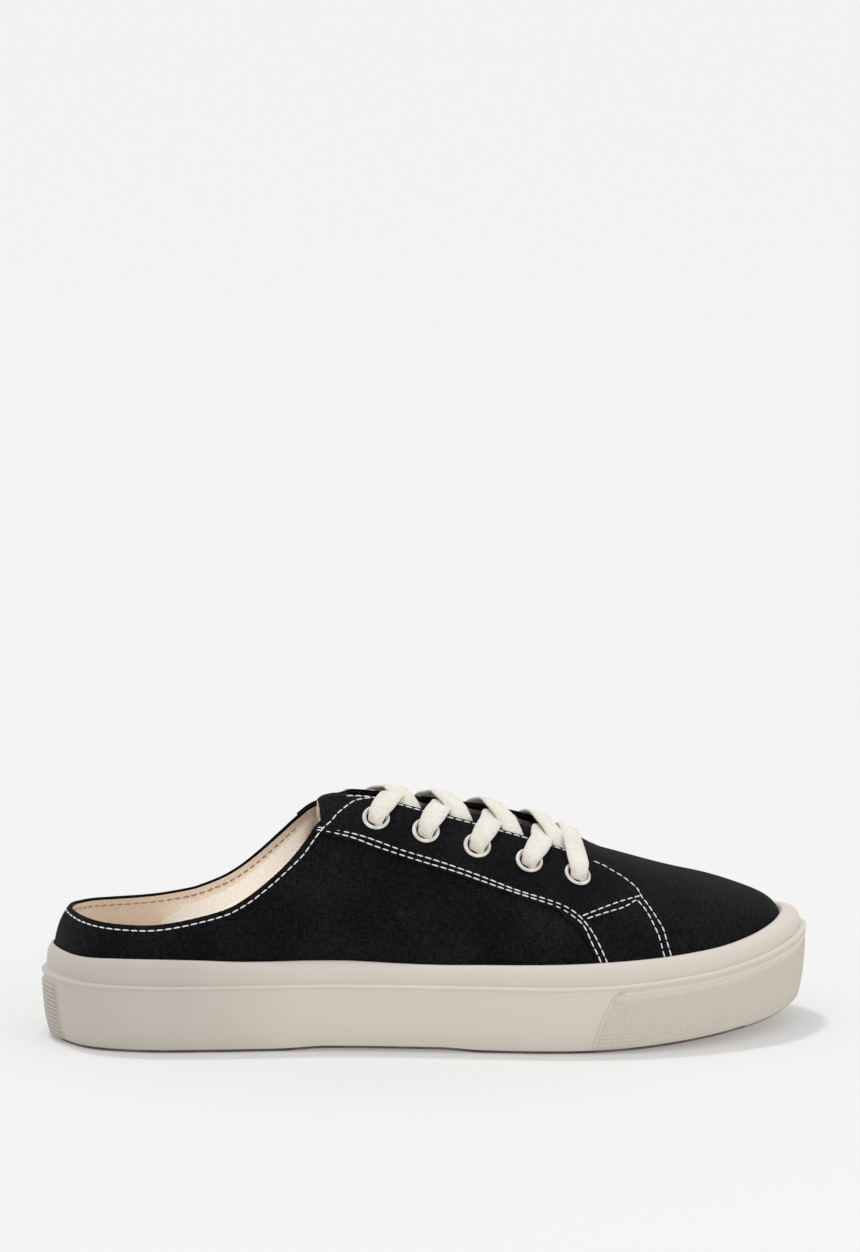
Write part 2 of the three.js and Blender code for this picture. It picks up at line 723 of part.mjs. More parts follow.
function eyestay(side) {
  const cut = EYESTAY_LINE.filter((row) => row.height > 0.51).map(sideView);
  const high = 2 * INSTEP_HEIGHT;
  const corners = [...cut, ...panelSplit, [panelSplit.at(-1)[0], high], [cut[0][0], high]];
  const piece = overlayShell.intersect(sidePrism(corners, side)).intersect(behindFrontEdge(side));
  return piece.subtract(openings).subtract(eyeletHoles);
}

function sidePanel(side) {
  const cut = EYESTAY_LINE.filter((row) => row.height < 0.5).map(sideView);
  const corners = [...cut.slice(0, -1), ...rimCorners, ...belowSplit(panelSplit).slice(1).reverse()];
  return overlayShell.intersect(sidePrism(corners, side)).intersect(behindFrontEdge(side));
}

// Where the eyelets stand: along the length, and back from the throat's edge as a share of the setback.
const EYELETS = [
  { along: 0.428, back: 0.97 },
  { along: 0.491, back: 0.79 },
  { along: 0.556, back: 0.87 },
  { along: 0.622, back: 1.0 },
  { along: 0.684, back: 1.05 },
];
const EYELET_BARREL = EYELET_HOLE + 2 * EYELET_WALL;
const EYELET_STEPS = 12;

function eyeletPlace(row, side) {
  const x = row.along * SOLE_LENGTH;
  return { x, y: THROAT_CENTRE + side * (throatHalf(x) + row.back * EYELET_SETBACK) };
}

// A frame on the last over an eyelet, with its Z axis along the way out.
function eyeletSeat(row, side, lift) {
  const { x, y } = eyeletPlace(row, side);
  const { point, normal } = lastAt(x, y, lift);
  const turn = new THREE.Quaternion().setFromUnitVectors(new THREE.Vector3(0, 0, 1), normal);
  return new THREE.Matrix4().compose(point, turn, new THREE.Vector3(1, 1, 1));
}

const eyeletSeats = [-1, 1].flatMap((side) => EYELETS.map((row, i) => ({ row, side, number: i + 1 })));
const eyeletHoles = wasm.Manifold.union(
  eyeletSeats.map(({ row, side }) => {
    const pin = new THREE.CylinderGeometry(
      EYELET_BARREL / 2 + FIT_GAP,
      EYELET_BARREL / 2 + FIT_GAP,
      8,
      EYELET_STEPS,
    ).rotateX(Math.PI / 2);
    return solidOf(pin.applyMatrix4(eyeletSeat(row, side, 0)));
  }),
);

// A pressed metal eyelet: a rounded flange on the eyestay and a barrel through the canvas.
function eyeletAt(row, side) {
  const barrelEnd = -(OVERLAY_WALL + FIT_GAP + CANVAS_WALL);
  const profile = [
    [EYELET_HOLE / 2, barrelEnd],
    [EYELET_BARREL / 2, barrelEnd],
    [EYELET_BARREL / 2, 0],
    [EYELET_DIAMETER / 2, 0],
    [lerp(EYELET_HOLE, EYELET_DIAMETER, 0.5) / 2, EYELET_HEIGHT],
    [EYELET_HOLE / 2, EYELET_HEIGHT / 2],
  ];
  const closed = [...profile, profile[0]].map(([r, z]) => new THREE.Vector2(r, z));
  const geometry = new THREE.LatheGeometry(closed, EYELET_STEPS).rotateX(Math.PI / 2);
  return solidOf(geometry.applyMatrix4(eyeletSeat(row, side, FIT_GAP + OVERLAY_WALL + 0.1)));
}

// The flat lace. A strip is a row of places on the last, with how far it lifts off it and
// how wide it is.
const LACE_SECTION = [
  [-1, 1],
  [1, 1],
  [1, -1],
  [-1, -1],
];
function laceStrip(rows) {
  const samples = rows.map((row) => lastAt(row.x, row.y, row.lift));
  const points = samples.map((sample) => sample.point);
  const corners = [];
  rows.forEach((row, i) => {
    const apart = (other) => Math.hypot(other.x - row.x, other.y - row.y) > 0.5;
    const back = rows.findLastIndex((other, k) => k < i && apart(other));
    const ahead = rows.findIndex((other, k) => k > i && apart(other));
    const from = rows[back < 0 ? i : back];
    const to = rows[ahead < 0 ? i : ahead];
    const heading = new THREE.Vector3(to.x - from.x, to.y - from.y, 0);
    const across = new THREE.Vector3().crossVectors(samples[i].normal, heading).normalize();
    const run = points[Math.min(i + 1, points.length - 1)].clone().sub(points[Math.max(i - 1, 0)]);
    const up = new THREE.Vector3().crossVectors(run, across).normalize();
    for (const [a, b] of LACE_SECTION) {
      const corner = points[i].clone().addScaledVector(across, (a * row.width) / 2);
      corners.push(corner.addScaledVector(up, (b * LACE_THICKNESS) / 2));
    }
  });
  const faces = [];
  const sides = 4;
  for (let i = 0; i < rows.length - 1; i++) {
    for (let j = 0; j < sides; j++) {
      const [a, b] = [i * sides + j, i * sides + ((j + 1) % sides)];
      faces.push([a, b + sides, b], [a, a + sides, b + sides]);
    }
  }
  for (let j = 1; j < sides - 1; j++) {
    faces.push([0, j, j + 1]);
    const last = (rows.length - 1) * sides;
    faces.push([last, last + j + 1, last + j]);
  }
  return solidFrom(corners, faces);
}

// How high a strip rides: over the eyestay, over an eyelet's flange, and tucked under the canvas.
const LACE_RIDE = FIT_GAP + OVERLAY_WALL + LACE_GAP + LACE_THICKNESS / 2;
const FLANGE_RIDE = LACE_RIDE + EYELET_HEIGHT + 0.2;
const TUCKED = -(CANVAS_WALL + 0.5 + LACE_THICKNESS / 2);

function stripRows(start, end, lifts) {
  const span = Math.hypot(end.x - start.x, end.y - start.y);
  const place = (d) => ({
    x: lerp(start.x, end.x, d / span),
    y: lerp(start.y, end.y, d / span),
  });
  return lifts(span).map(([d, lift, width]) => ({ ...place(d), lift, width }));
}

const IN_HOLE = 0.72 * EYELET_HOLE;
const fromEyelet = [
  [0, -0.4, IN_HOLE],
  [0.1, FLANGE_RIDE - LACE_THICKNESS / 2 - 1, IN_HOLE],
  [0.125 * EYELET_HOLE, FLANGE_RIDE - 0.15, 0.86 * EYELET_HOLE],
  [0.43 * EYELET_HOLE, FLANGE_RIDE, 0.88 * LACE_WIDTH],
  [0.46 * EYELET_DIAMETER, FLANGE_RIDE - 0.2, LACE_WIDTH],
];

// A crossing: the strip under comes from the far edge down to this eyelet, and the strip over
// goes the other way.
function crossingStrip(k, side, centreLift) {
  const start = eyeletPlace(EYELETS[k], side);
  const next = eyeletPlace(EYELETS[k + 1], -side);
  const endX = next.x - 0.4 * LACE_WIDTH;
  const end = { x: endX, y: THROAT_CENTRE - side * (throatHalf(endX) - 0.8) };
  const rows = stripRows(start, end, (span) => {
    const reach = span - fromEyelet.at(-1)[0];
    const edge = span - reach * 0.82;
    return [
      ...fromEyelet,
      [edge, LACE_RIDE + 0.1, LACE_WIDTH],
      [edge + (span - edge) * 0.14, LACE_RIDE - 0.2, LACE_WIDTH],
      [edge + (span - edge) * 0.32, lerp(LACE_RIDE, centreLift, 0.55), LACE_WIDTH],
      [edge + (span - edge) * 0.5, centreLift, LACE_WIDTH],
      [edge + (span - edge) * 0.68, lerp(centreLift, TUCKED, 0.5), LACE_WIDTH],
      [edge + (span - edge) * 0.85, TUCKED, LACE_WIDTH],
      [span, TUCKED, LACE_WIDTH],
    ];
  });
  return laceStrip(rows);
}

const CROSS_LOW = -LACE_THICKNESS;
const CROSS_STEP = LACE_THICKNESS - 0.15;
const crossing = (k) =>
  crossingStrip(k, -1, CROSS_LOW).add(crossingStrip(k, 1, CROSS_LOW + CROSS_STEP));

function laceBar() {
  const row = EYELETS.at(-1);
  const rows = stripRows(eyeletPlace(row, -1), eyeletPlace(row, 1), (span) => {
    const back = [...fromEyelet].reverse().map(([d, lift, width]) => [span - d, lift, width]);
    return [
      ...fromEyelet,
      [0.17 * span, LACE_RIDE + 0.1, LACE_WIDTH],
      [0.25 * span, LACE_RIDE - 0.1, LACE_WIDTH],
      [0.38 * span, LACE_RIDE - 0.6, LACE_WIDTH],
      [0.5 * span, LACE_RIDE - 0.8, LACE_WIDTH],
      [0.62 * span, LACE_RIDE - 0.6, LACE_WIDTH],
      [0.75 * span, LACE_RIDE - 0.1, LACE_WIDTH],
      [0.83 * span, LACE_RIDE + 0.1, LACE_WIDTH],
      ...back,
    ];
  });
  return laceStrip(rows);
}

const upper = canvas.subtract(eyeletHoles);

const CANVAS = new THREE.MeshStandardMaterial({ color: 0x1a1a1e, roughness: 0.95, metalness: 0 });
const OVERLAY = new THREE.MeshStandardMaterial({ color: 0x232327, roughness: 0.95, metalness: 0 });
const RUBBER = new THREE.MeshStandardMaterial({ color: 0xd9d3c8, roughness: 0.6, metalness: 0 });
const LINING = new THREE.MeshStandardMaterial({ color: 0xd8c9ad, roughness: 0.95, metalness: 0 });
const COTTON = new THREE.MeshStandardMaterial({ color: 0xe9e2d2, roughness: 0.9, metalness: 0 });
const ENAMEL = new THREE.MeshStandardMaterial({ color: 0xe4e0d6, roughness: 0.35, metalness: 0.2 });

const sneaker = new THREE.Group();
sneaker.name = "sneaker_mule";

function place(name, solid, material) {
  const mesh = new THREE.Mesh(geometryOf(solid.simplify(FACET_MERGE)), material);
  mesh.name = name;
  sneaker.add(mesh);
}

place("sole", sole, RUBBER);
place("upper", upper, CANVAS);
place("insole", insole, LINING);
place("tongue", tongue, CANVAS);
for (const [side, word] of [[-1, "outer"], [1, "inner"]]) {
  place(`eyestay_${word}`, eyestay(side), OVERLAY);
  place(`side_panel_${word}`, sidePanel(side), OVERLAY);
}
for (const { row, side, number } of eyeletSeats) {
  place(`eyelet_${side < 0 ? "outer" : "inner"}_${number}`, eyeletAt(row, side), ENAMEL);
}
for (let k = 0; k < EYELETS.length - 1; k++) place(`lace_cross_${k + 1}`, crossing(k), COTTON);
place("lace_bar", laceBar(), COTTON);

// The origin is under the middle of the sole, on the floor.
sneaker.children[0].geometry.computeBoundingBox();
const extent = sneaker.children[0].geometry.boundingBox;
const middle = extent.getCenter(new THREE.Vector3());
sneaker.position.set(-middle.x, -middle.y, -extent.min.z);

export default sneaker;
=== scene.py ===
# A backless canvas sneaker for the right foot on a pale studio floor. The pieces are worked out in
# millimetres from the heel's back, as the CAD is, and set down in metres in the CAD's own frame.
import math

import bmesh
import bpy
import numpy as np
from mathutils import Matrix, Vector
from mathutils.bvhtree import BVHTree


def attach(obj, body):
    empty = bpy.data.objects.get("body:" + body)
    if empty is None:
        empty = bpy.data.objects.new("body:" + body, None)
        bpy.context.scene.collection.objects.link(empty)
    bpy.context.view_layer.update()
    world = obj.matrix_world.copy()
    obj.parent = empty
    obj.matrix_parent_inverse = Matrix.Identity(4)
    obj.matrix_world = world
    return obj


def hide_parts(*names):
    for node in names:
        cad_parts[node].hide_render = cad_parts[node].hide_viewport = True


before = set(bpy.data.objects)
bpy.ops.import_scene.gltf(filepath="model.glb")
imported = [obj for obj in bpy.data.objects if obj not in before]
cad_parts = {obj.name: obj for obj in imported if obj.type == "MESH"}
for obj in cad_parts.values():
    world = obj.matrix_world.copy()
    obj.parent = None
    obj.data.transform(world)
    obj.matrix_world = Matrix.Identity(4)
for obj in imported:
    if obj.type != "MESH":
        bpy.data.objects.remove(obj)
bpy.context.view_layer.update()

# ---- The sole ----
# A cup sole moulded in one piece of off-white rubber: a smooth wall, a thin bead, a rounded band
# that holds the canvas, and a closed cup under the insole.
SOLE_LENGTH = 272.0
BALL_WIDTH = 98.0
RIM_HEIGHT = 31.2
RIM_LEDGE = 4.2
BEAD_HEIGHT = 24.2
BEAD_ROLL = 2.4
WALL_TAPER = 4.2
CUP_FLOOR = 20.0
CENTRE_X = 136.0
TOE_SPRING = 7.8
BUMPER_RISE = 2.4
TREAD_INSETS = (8.0, 5.2)
BEAD_INSET = 1.1
RIM_TUCK = 0.3
# How high the painted contact shadow reaches up the tread's bevelled edge, in millimetres.
PAINTED_SHADE_TOP = 1.0
OUTER_EDGE = [
    (0.0, 0.0), (0.012, -0.25), (0.05, -0.53), (0.12, -0.685), (0.22, -0.73), (0.36, -0.745),
    (0.5, -0.855), (0.64, -0.985), (0.75, -0.985), (0.86, -0.82), (0.94, -0.54), (0.985, -0.2),
    (1.0, 0.16),
]
INNER_EDGE = [
    (0.978, 0.49), (0.93, 0.74), (0.85, 0.92), (0.74, 1.0), (0.62, 0.92), (0.5, 0.74),
    (0.36, 0.63), (0.22, 0.66), (0.12, 0.665), (0.05, 0.52), (0.012, 0.25),
]


def hermite(t, start, leave, end, arrive):
    """A smooth curve from start to end, with its slope at each."""
    return (
        (2 * t**3 - 3 * t**2 + 1) * start + (t**3 - 2 * t**2 + t) * leave
        + (3 * t**2 - 2 * t**3) * end + (t**3 - t**2) * arrive
    )


def along_table(table, at):
    """Reads a table of (place, value) rows with a smooth curve between the rows."""
    key, value = np.array(table, float).T
    slope = np.gradient(value)
    slope[1:-1] = (value[2:] - value[:-2]) / (key[2:] - key[:-2])
    slope[0] = (value[1] - value[0]) / (key[1] - key[0])
    slope[-1] = (value[-1] - value[-2]) / (key[-1] - key[-2])
    at = np.clip(at, key[0], key[-1])
    i = np.clip(np.searchsorted(key, at, side="right") - 1, 0, len(key) - 2)
    span = key[i + 1] - key[i]
    t = (at - key[i]) / span
    return hermite(t, value[i], slope[i] * span, value[i + 1], slope[i + 1] * span)


def closed_outline(points, parts=60):
    """A smooth closed curve through the points, as an array of close-set places."""
    found = []
    count = len(points)
    for i in range(count):
        p0, p1, p2, p3 = (points[(i + k) % count] for k in (-1, 0, 1, 2))
        d0, d1, d2 = (np.linalg.norm(b - a) ** 0.5 for a, b in ((p0, p1), (p1, p2), (p2, p3)))
        start = ((p1 - p0) / d0 - (p2 - p0) / (d0 + d1) + (p2 - p1) / d1) * d1
        end = ((p2 - p1) / d1 - (p3 - p1) / (d1 + d2) + (p3 - p2) / d2) * d1
        found += [hermite(t, p1, start, p2, end) for t in np.arange(parts) / parts]
    return np.array(found + [found[0]])


def walked(places, least=0.0):
    """How far along a line of places each one is."""
    steps = np.linalg.norm(np.diff(places, axis=0), axis=1)
    return np.concatenate([[0], np.cumsum(np.maximum(least, steps))])


edge_points = closed_outline(
    [np.array((a * SOLE_LENGTH, b * BALL_WIDTH / 2)) for a, b in OUTER_EDGE + INNER_EDGE]
)
edge_walk = walked(edge_points)
PERIMETER = edge_walk[-1]
edge_way = np.gradient(edge_points[:-1], axis=0)
edge_way[0] = edge_way[-1] = (edge_points[1] - edge_points[-2]) / 2
edge_way = np.vstack([edge_way, edge_way[:1]])
toe_share = edge_walk[np.argmax(edge_points[:, 0])] / PERIMETER


def edge_at(u, side):
    """Where the sole's outline is at share u of a side from the heel's back, and the way out there."""
    t = np.where(side < 0, u * toe_share, 1 - u * (1 - toe_share)) % 1 * PERIMETER
    at = np.stack([np.interp(t, edge_walk, edge_points[:, k]) for k in (0, 1)], -1)
    way = np.stack([np.interp(t, edge_walk, edge_way[:, k]) for k in (0, 1)], -1)
    way /= np.linalg.norm(way, axis=-1, keepdims=True)
    return at, np.stack([way[..., 1], -way[..., 0]], -1)


def ease(x, low, high):
    t = np.clip((x - low) / (high - low), 0, 1)
    return t * t * (3 - 2 * t)


def spring_at(x):
    return TOE_SPRING * np.maximum(0, (x / SOLE_LENGTH - 0.66) / 0.34) ** 1.8


def bumper_at(x):
    return spring_at(x) + BUMPER_RISE * np.maximum(0, (x / SOLE_LENGTH - 0.86) / 0.14) ** 1.4


RIM_LINE = [
    (0, 0.09), (0.02, 0.055), (0.04, 0.04), (0.065, 0.045), (0.09, 0.055), (0.142, 0.06), (0.2, 0.045),
    (0.26, 0.022), (0.38, 0.024), (0.455, -0.002), (0.51, -0.012), (0.56, -0.004), (0.64, 0.006),
    (0.72, 0.015), (0.8, 0.003), (0.9, -0.008), (1, 0.02),
]
LEDGE = [(0, 1.0), (0.3, 1.1), (0.7, 1.2), (0.88, 1.57), (1, 2.2)]
SOLE_WALL = [(0, 1.0), (0.05, 0.7), (0.42, 0.29), (1, 0.07)]
SOLE_BAND = [
    (0.0, 0.09), (0.1, 0.08), (0.3, 0.1), (0.5, 0.16), (0.7, 0.28), (0.89, 0.54), (0.97, 0.71), (1, 0.87),
]
# The bead's own section: how far above or below its line, and how far in, in millimetres.
BEAD_SECTION = [
    (-2.2, 0.32), (-1.75, 0.36), (-1.5, 0.3), (-1.35, 0.05), (-1.1, -0.28), (-0.75, -0.42), (-0.35, -0.3),
    (-0.1, 0.05), (0.0, 0.5), (0.04, 1.1),
]


def rim_at(x):
    return RIM_HEIGHT * (1 + along_table(RIM_LINE, x / SOLE_LENGTH)) + bumper_at(x)


def rim_width_at(x):
    return RIM_LEDGE * along_table(LEDGE, x / SOLE_LENGTH)


def bead_at(x):
    return BEAD_HEIGHT + bumper_at(x)


def floor_at(x):
    return CUP_FLOOR + 2 * (1 - ease(x / SOLE_LENGTH, 0.25, 0.65)) + spring_at(x)


def bottom_at(x):
    s = x / SOLE_LENGTH
    return 0.8 * ease(s, 0.3, 0.36) * (1 - ease(s, 0.5, 0.56)) + spring_at(x)


def wall_level(x, climb):
    low = bottom_at(x)
    return low + (bead_at(x) - BEAD_ROLL - low) * climb


def grid_piece(columns, rows, place, merge=0.001):
    """A flat grid bent to shape: place takes how far across and up it each corner is, from 0 to 1."""
    bm = bmesh.new()
    bmesh.ops.create_grid(bm, x_segments=columns, y_segments=rows, size=0.5)
    flat = np.array([v.co[:2] for v in bm.verts]) + 0.5
    spots = place(flat[:, 0], flat[:, 1])
    for vert, spot in zip(bm.verts, spots):
        vert.co = spot
    lay = bm.loops.layers.uv.new("cloth")
    for face in bm.faces:
        for loop in face.loops:
            loop[lay].uv = flat[loop.vert.index]
    if merge:
        bmesh.ops.remove_doubles(bm, verts=bm.verts, dist=merge)
    return bm


def joined(first, second):
    """Adds the second piece to the first."""
    part = bpy.data.meshes.new("part")
    second.to_mesh(part)
    first.from_mesh(part)
    bpy.data.meshes.remove(part)
    second.free()
    return first


def put_in_scene(name, data):
    made = bpy.data.objects.new(name, data)
    bpy.context.scene.collection.objects.link(made)
    return made


def set_down(bm, name, *materials, slot, replaces=(), outward=False):
    """Puts a piece worked out in millimetres into the scene in metres, on the shoe."""
    if outward:
        bmesh.ops.recalc_face_normals(bm, faces=bm.faces)
    bm.transform(Matrix.Scale(0.001, 4) @ Matrix.Translation((-CENTRE_X, 0, 0)))
    mesh = bpy.data.meshes.new(name)
    for face in bm.faces:
        face.smooth = True
    bm.to_mesh(mesh)
    bm.free()
    for material in materials:
        mesh.materials.append(material)
    piece = put_in_scene(name, mesh)
    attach(piece, "root")
    if replaces:
        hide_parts(*replaces)
    return piece


def new_material(name, colour, roughness, **sockets):
    """A material with its plain sockets set, and its nodes, ready for a pattern."""
    material = bpy.data.materials.new(name)
    material.use_nodes = True
    shader = material.node_tree.nodes["Principled BSDF"]
    shader.inputs["Base Color"].default_value = (*colour, 1)
    shader.inputs["Roughness"].default_value = roughness
    for key, value in sockets.items():
        shader.inputs[key.replace("_", " ")].default_value = value
    return material, material.node_tree, shader


def node(tree, kind, inputs=None, **settings):
    """Adds a node, sets it up and links or fills its inputs."""
    made = tree.nodes.new(kind)
    for key, value in settings.items():
        setattr(made, key, value)
    for key, value in (inputs or {}).items():
        if isinstance(value, bpy.types.NodeSocket):
            tree.links.new(value, made.inputs[key])
        else:
            made.inputs[key].default_value = value
    return made


def object_spot(tree):
    return node(tree, "ShaderNodeTexCoord").outputs["Object"]


def noise(tree, spot, scale, detail):
    return node(tree, "ShaderNodeTexNoise", {"Vector": spot, "Scale": scale, "Detail": detail}).outputs["Fac"]


def maths(tree, operation, *inputs):
    return node(tree, "ShaderNodeMath", dict(enumerate(inputs)), operation=operation).outputs[0]


def tint(tree, shader, factor, low, high):
    """Colours the shader between two stops, each a place on the factor and a colour."""
    ramp = node(tree, "ShaderNodeValToRGB", {"Fac": factor})
    for stop, (place, colour) in zip(ramp.color_ramp.elements, (low, high)):
        stop.position = place
        stop.color = (*colour, 1)
    tree.links.new(ramp.outputs["Color"], shader.inputs["Base Color"])
    return ramp


def relief(tree, shader, *layers):
    """Bumps the shader in layers of a height, a strength and a depth in metres, each over the last."""
    under = {}
    for height, strength, depth in layers:
        inputs = {"Height": height, "Strength": strength, "Distance": depth, **under}
        under = {"Normal": node(tree, "ShaderNodeBump", inputs).outputs["Normal"]}
    tree.links.new(under["Normal"], shader.inputs["Normal"])


def rubber_material():
    """Off-white rubber: a faint mottle, a matt moulded skin, and painted shade that greys it towards the
    heel.
    """
    material, tree, shader = new_material("sole_rubber", (0.67, 0.60, 0.54), 0.5)
    spot = object_spot(tree)
    mottle = noise(tree, spot, 38.0, 4.0)
    mixed = maths(tree, "ADD", mottle, noise(tree, spot, 9.0, 2.0))
    clean = tint(tree, shader, mixed, (0.55, (0.66, 0.594, 0.522)), (1.0, (0.70, 0.636, 0.56)))
    along = node(tree, "ShaderNodeSeparateXYZ", {0: spot}).outputs["X"]
    # Painted shade: the rubber's colour is scaled down to 0.8 towards the heel's end, which faces away from
    # the light.
    heel_painted_shade = node(
        tree, "ShaderNodeMapRange",
        {"Value": along, "From Min": -0.125, "From Max": -0.03, "To Min": 0.8, "To Max": 1.0},
        interpolation_type="SMOOTHSTEP",
    )
    shaded_to_heel = node(
        tree, "ShaderNodeVectorMath",
        {0: clean.outputs["Color"], "Scale": heel_painted_shade.outputs["Result"]}, operation="SCALE",
    )
    tree.links.new(shaded_to_heel.outputs[0], shader.inputs["Base Color"])
    grain, wave = noise(tree, spot, 1500.0, 3.0), noise(tree, spot, 60.0, 1.0)
    relief(tree, shader, (grain, 0.12, 0.0001), (wave, 0.25, 0.0003))
    shine = node(tree, "ShaderNodeMapRange", {"Value": mottle, "To Min": 0.42, "To Max": 0.6})
    tree.links.new(shine.outputs["Result"], shader.inputs["Roughness"])
    return material


def contact_shade_material():
    """Painted contact shadow: a dark brown band along the tread's bevelled edge, where the sole meets the
    floor.
    """
    material, tree, shader = new_material("tread_edge_painted_shade", (0.11, 0.075, 0.05), 0.7)
    # The painted shadow's tone varies at random between two dark browns.
    shade_mottle = noise(tree, object_spot(tree), 90.0, 6.0)
    tint(tree, shader, shade_mottle, (0.35, (0.085, 0.055, 0.036)), (0.75, (0.21, 0.155, 0.11)))
    relief(tree, shader, (shade_mottle, 0.3, 0.0003))
    return material


rubber = rubber_material()
contact_shade_paint = contact_shade_material()


def sole_rows():
    """The sole's section from the tread's edge up over the rim and down into the cup."""
    rows = [(lambda x, i=inset: i + 0 * x, bottom_at) for inset in TREAD_INSETS]
    for climb in np.concatenate([[0.0, 0.008, 0.02, 0.035], np.linspace(0.055, 1, 22)]):
        inset = WALL_TAPER * along_table(SOLE_WALL, climb)
        rows.append((lambda x, i=inset: i + 0 * x, lambda x, c=climb: wall_level(x, c)))
    for drop, inset in BEAD_SECTION:
        rows.append((lambda x, i=inset: i + 0 * x, lambda x, d=drop: bead_at(x) + d))
    for climb in np.concatenate([np.linspace(0.03, 0.86, 9), [0.91, 0.95, 0.98, 1.0]]):
        inset = along_table(SOLE_BAND, climb)
        rows.append((
            lambda x, i=inset: BEAD_INSET + (rim_width_at(x) - BEAD_INSET) * i,
            lambda x, c=climb: bead_at(x) + (rim_at(x) - bead_at(x)) * c,
        ))
    rows.append((lambda x: rim_width_at(x) - RIM_TUCK, lambda x: rim_at(x) - 0.5))
    rows.append((lambda x: rim_width_at(x) - RIM_TUCK, floor_at))
    return rows


def round_the_sole(across, inset, level):
    """Places on a ring round the sole, from the heel's back over the outer side and home."""
    u = np.where(across <= 0.5, 2 * across, 2 - 2 * across)
    side = np.where(across <= 0.5, -1, 1)
    at, out = edge_at(u, side)
    spot = at - out * inset(at[:, 0])[:, None]
    return np.column_stack([spot, level(spot[:, 0])])


SOLE_ROWS = sole_rows()


def place_sole(across, up):
    row = np.rint(up * (len(SOLE_ROWS) - 1)).astype(int)
    spots = np.zeros((len(across), 3))
    for k, (inset, level) in enumerate(SOLE_ROWS):
        spots[row == k] = round_the_sole(across[row == k], inset, level)
    return spots


def across_the_sole(inset, level):
    """Places on a sheet that spans the sole from its outer side to its inner side."""
    def place(along, across):
        outer = round_the_sole(along / 2, inset, level)
        inner = round_the_sole(1 - along / 2, inset, level)
        spots = outer + (inner - outer) * across[:, None]
        spots[:, 2] = level(spots[:, 0])
        return spots
    return place


body = grid_piece(480, len(SOLE_ROWS) - 1, place_sole)
joined(body, grid_piece(240, 40, across_the_sole(SOLE_ROWS[0][0], bottom_at)))
joined(body, grid_piece(240, 12, across_the_sole(SOLE_ROWS[-1][0], floor_at)))
bmesh.ops.remove_doubles(body, verts=body.verts, dist=0.02)
# Painted contact shadow: the faces of the tread's bevelled edge, up to a millimetre above the bottom, take
# the dark brown second material; the bottom itself stays off-white.
for face in body.faces:
    centre = face.calc_center_median()
    if 0.02 < centre.z - bottom_at(centre.x) < PAINTED_SHADE_TOP:
        face.material_index = 1
set_down(body, "cup_sole", rubber, contact_shade_paint, slot="rubber_sole", replaces=["sole"], outward=True)

# ---- The moulded fields ----
# The toe's field: rows of small raised dashes in a raised border, with a thin second bead along its
# top. The heel's patch: thirteen flat ribs with fine grooves between them. Both are of the sole's own
# rubber, one with its wall, and stand a little proud of it.
TOE_HALF = 0.352
TOE_COLUMNS = 904
DASH_ROWS = 13 * 4
TOP_ROWS = 8
TOE_BORDER = [
    (0.0, 0.347), (0.3, 0.341), (0.6, 0.334), (0.83, 0.326), (0.95, 0.3205), (1.0, 0.314), (1.03, 0.305),
]
HEEL_HALF = 0.056
HEEL_COLUMNS = 110
RIB_ROWS = 13 * 6
SIDE_MM = 300
SUNK = -0.35


def on_wall(u, side, climb, rise):
    """Places on the sole's wall, a rise out from it."""
    at, out = edge_at(u, side)
    inset = WALL_TAPER * along_table(SOLE_WALL, climb) - rise
    spot = at - out * inset[:, None]
    return np.column_stack([spot, wall_level(spot[:, 0], climb)])


def place_toe(across, up):
    climb = 0.055 + 0.97 * up
    turn = (across * 2 - 1) * TOE_HALF
    row = np.rint(up * (DASH_ROWS + TOP_ROWS)).astype(int)
    column = np.rint(across * TOE_COLUMNS).astype(int)
    inside = (along_table(TOE_BORDER, climb) - np.abs(turn)) * SIDE_MM
    rise = np.where(row % 4 < 2, np.where(column % 5 < 3, 0.7, 0.36), 0.02)
    rise = np.where(row >= DASH_ROWS, 0.1, rise)
    rise = np.where((row >= DASH_ROWS + 3) & (row <= DASH_ROWS + 6), 0.6, rise)
    rise = np.where(inside < 1.6, 0.12, rise)
    rise = np.where(inside < 1.1, 0.6, rise)
    rise = np.where((inside < 0.2) | (row == 0) | (row == DASH_ROWS + TOP_ROWS), SUNK, rise)
    return on_wall(1 - np.abs(turn), np.where(turn < 0, -1, 1), climb, rise)


def place_heel(across, up):
    climb = 0.06 + 0.9 * up
    turn = (across * 2 - 1) * HEEL_HALF
    row = np.rint(up * RIB_ROWS).astype(int)
    inside = (0.0535 - 0.0075 * climb - np.abs(turn)) * SIDE_MM
    rise = np.where(row % 6 < 3, 0.85, 0.04)
    rise = np.where(inside < 0.9, 0.3, rise)
    rise = np.where((inside < 0.1) | (row == 0) | (row == RIB_ROWS), SUNK, rise)
    return on_wall(np.abs(turn), np.where(turn < 0, 1, -1), climb, rise)


toe = grid_piece(TOE_COLUMNS, DASH_ROWS + TOP_ROWS, place_toe)
set_down(toe, "toe_field", rubber, slot="rubber_sole")
heel = grid_piece(HEEL_COLUMNS, RIB_ROWS, place_heel)
set_down(heel, "heel_ribs", rubber, slot="rubber_sole")

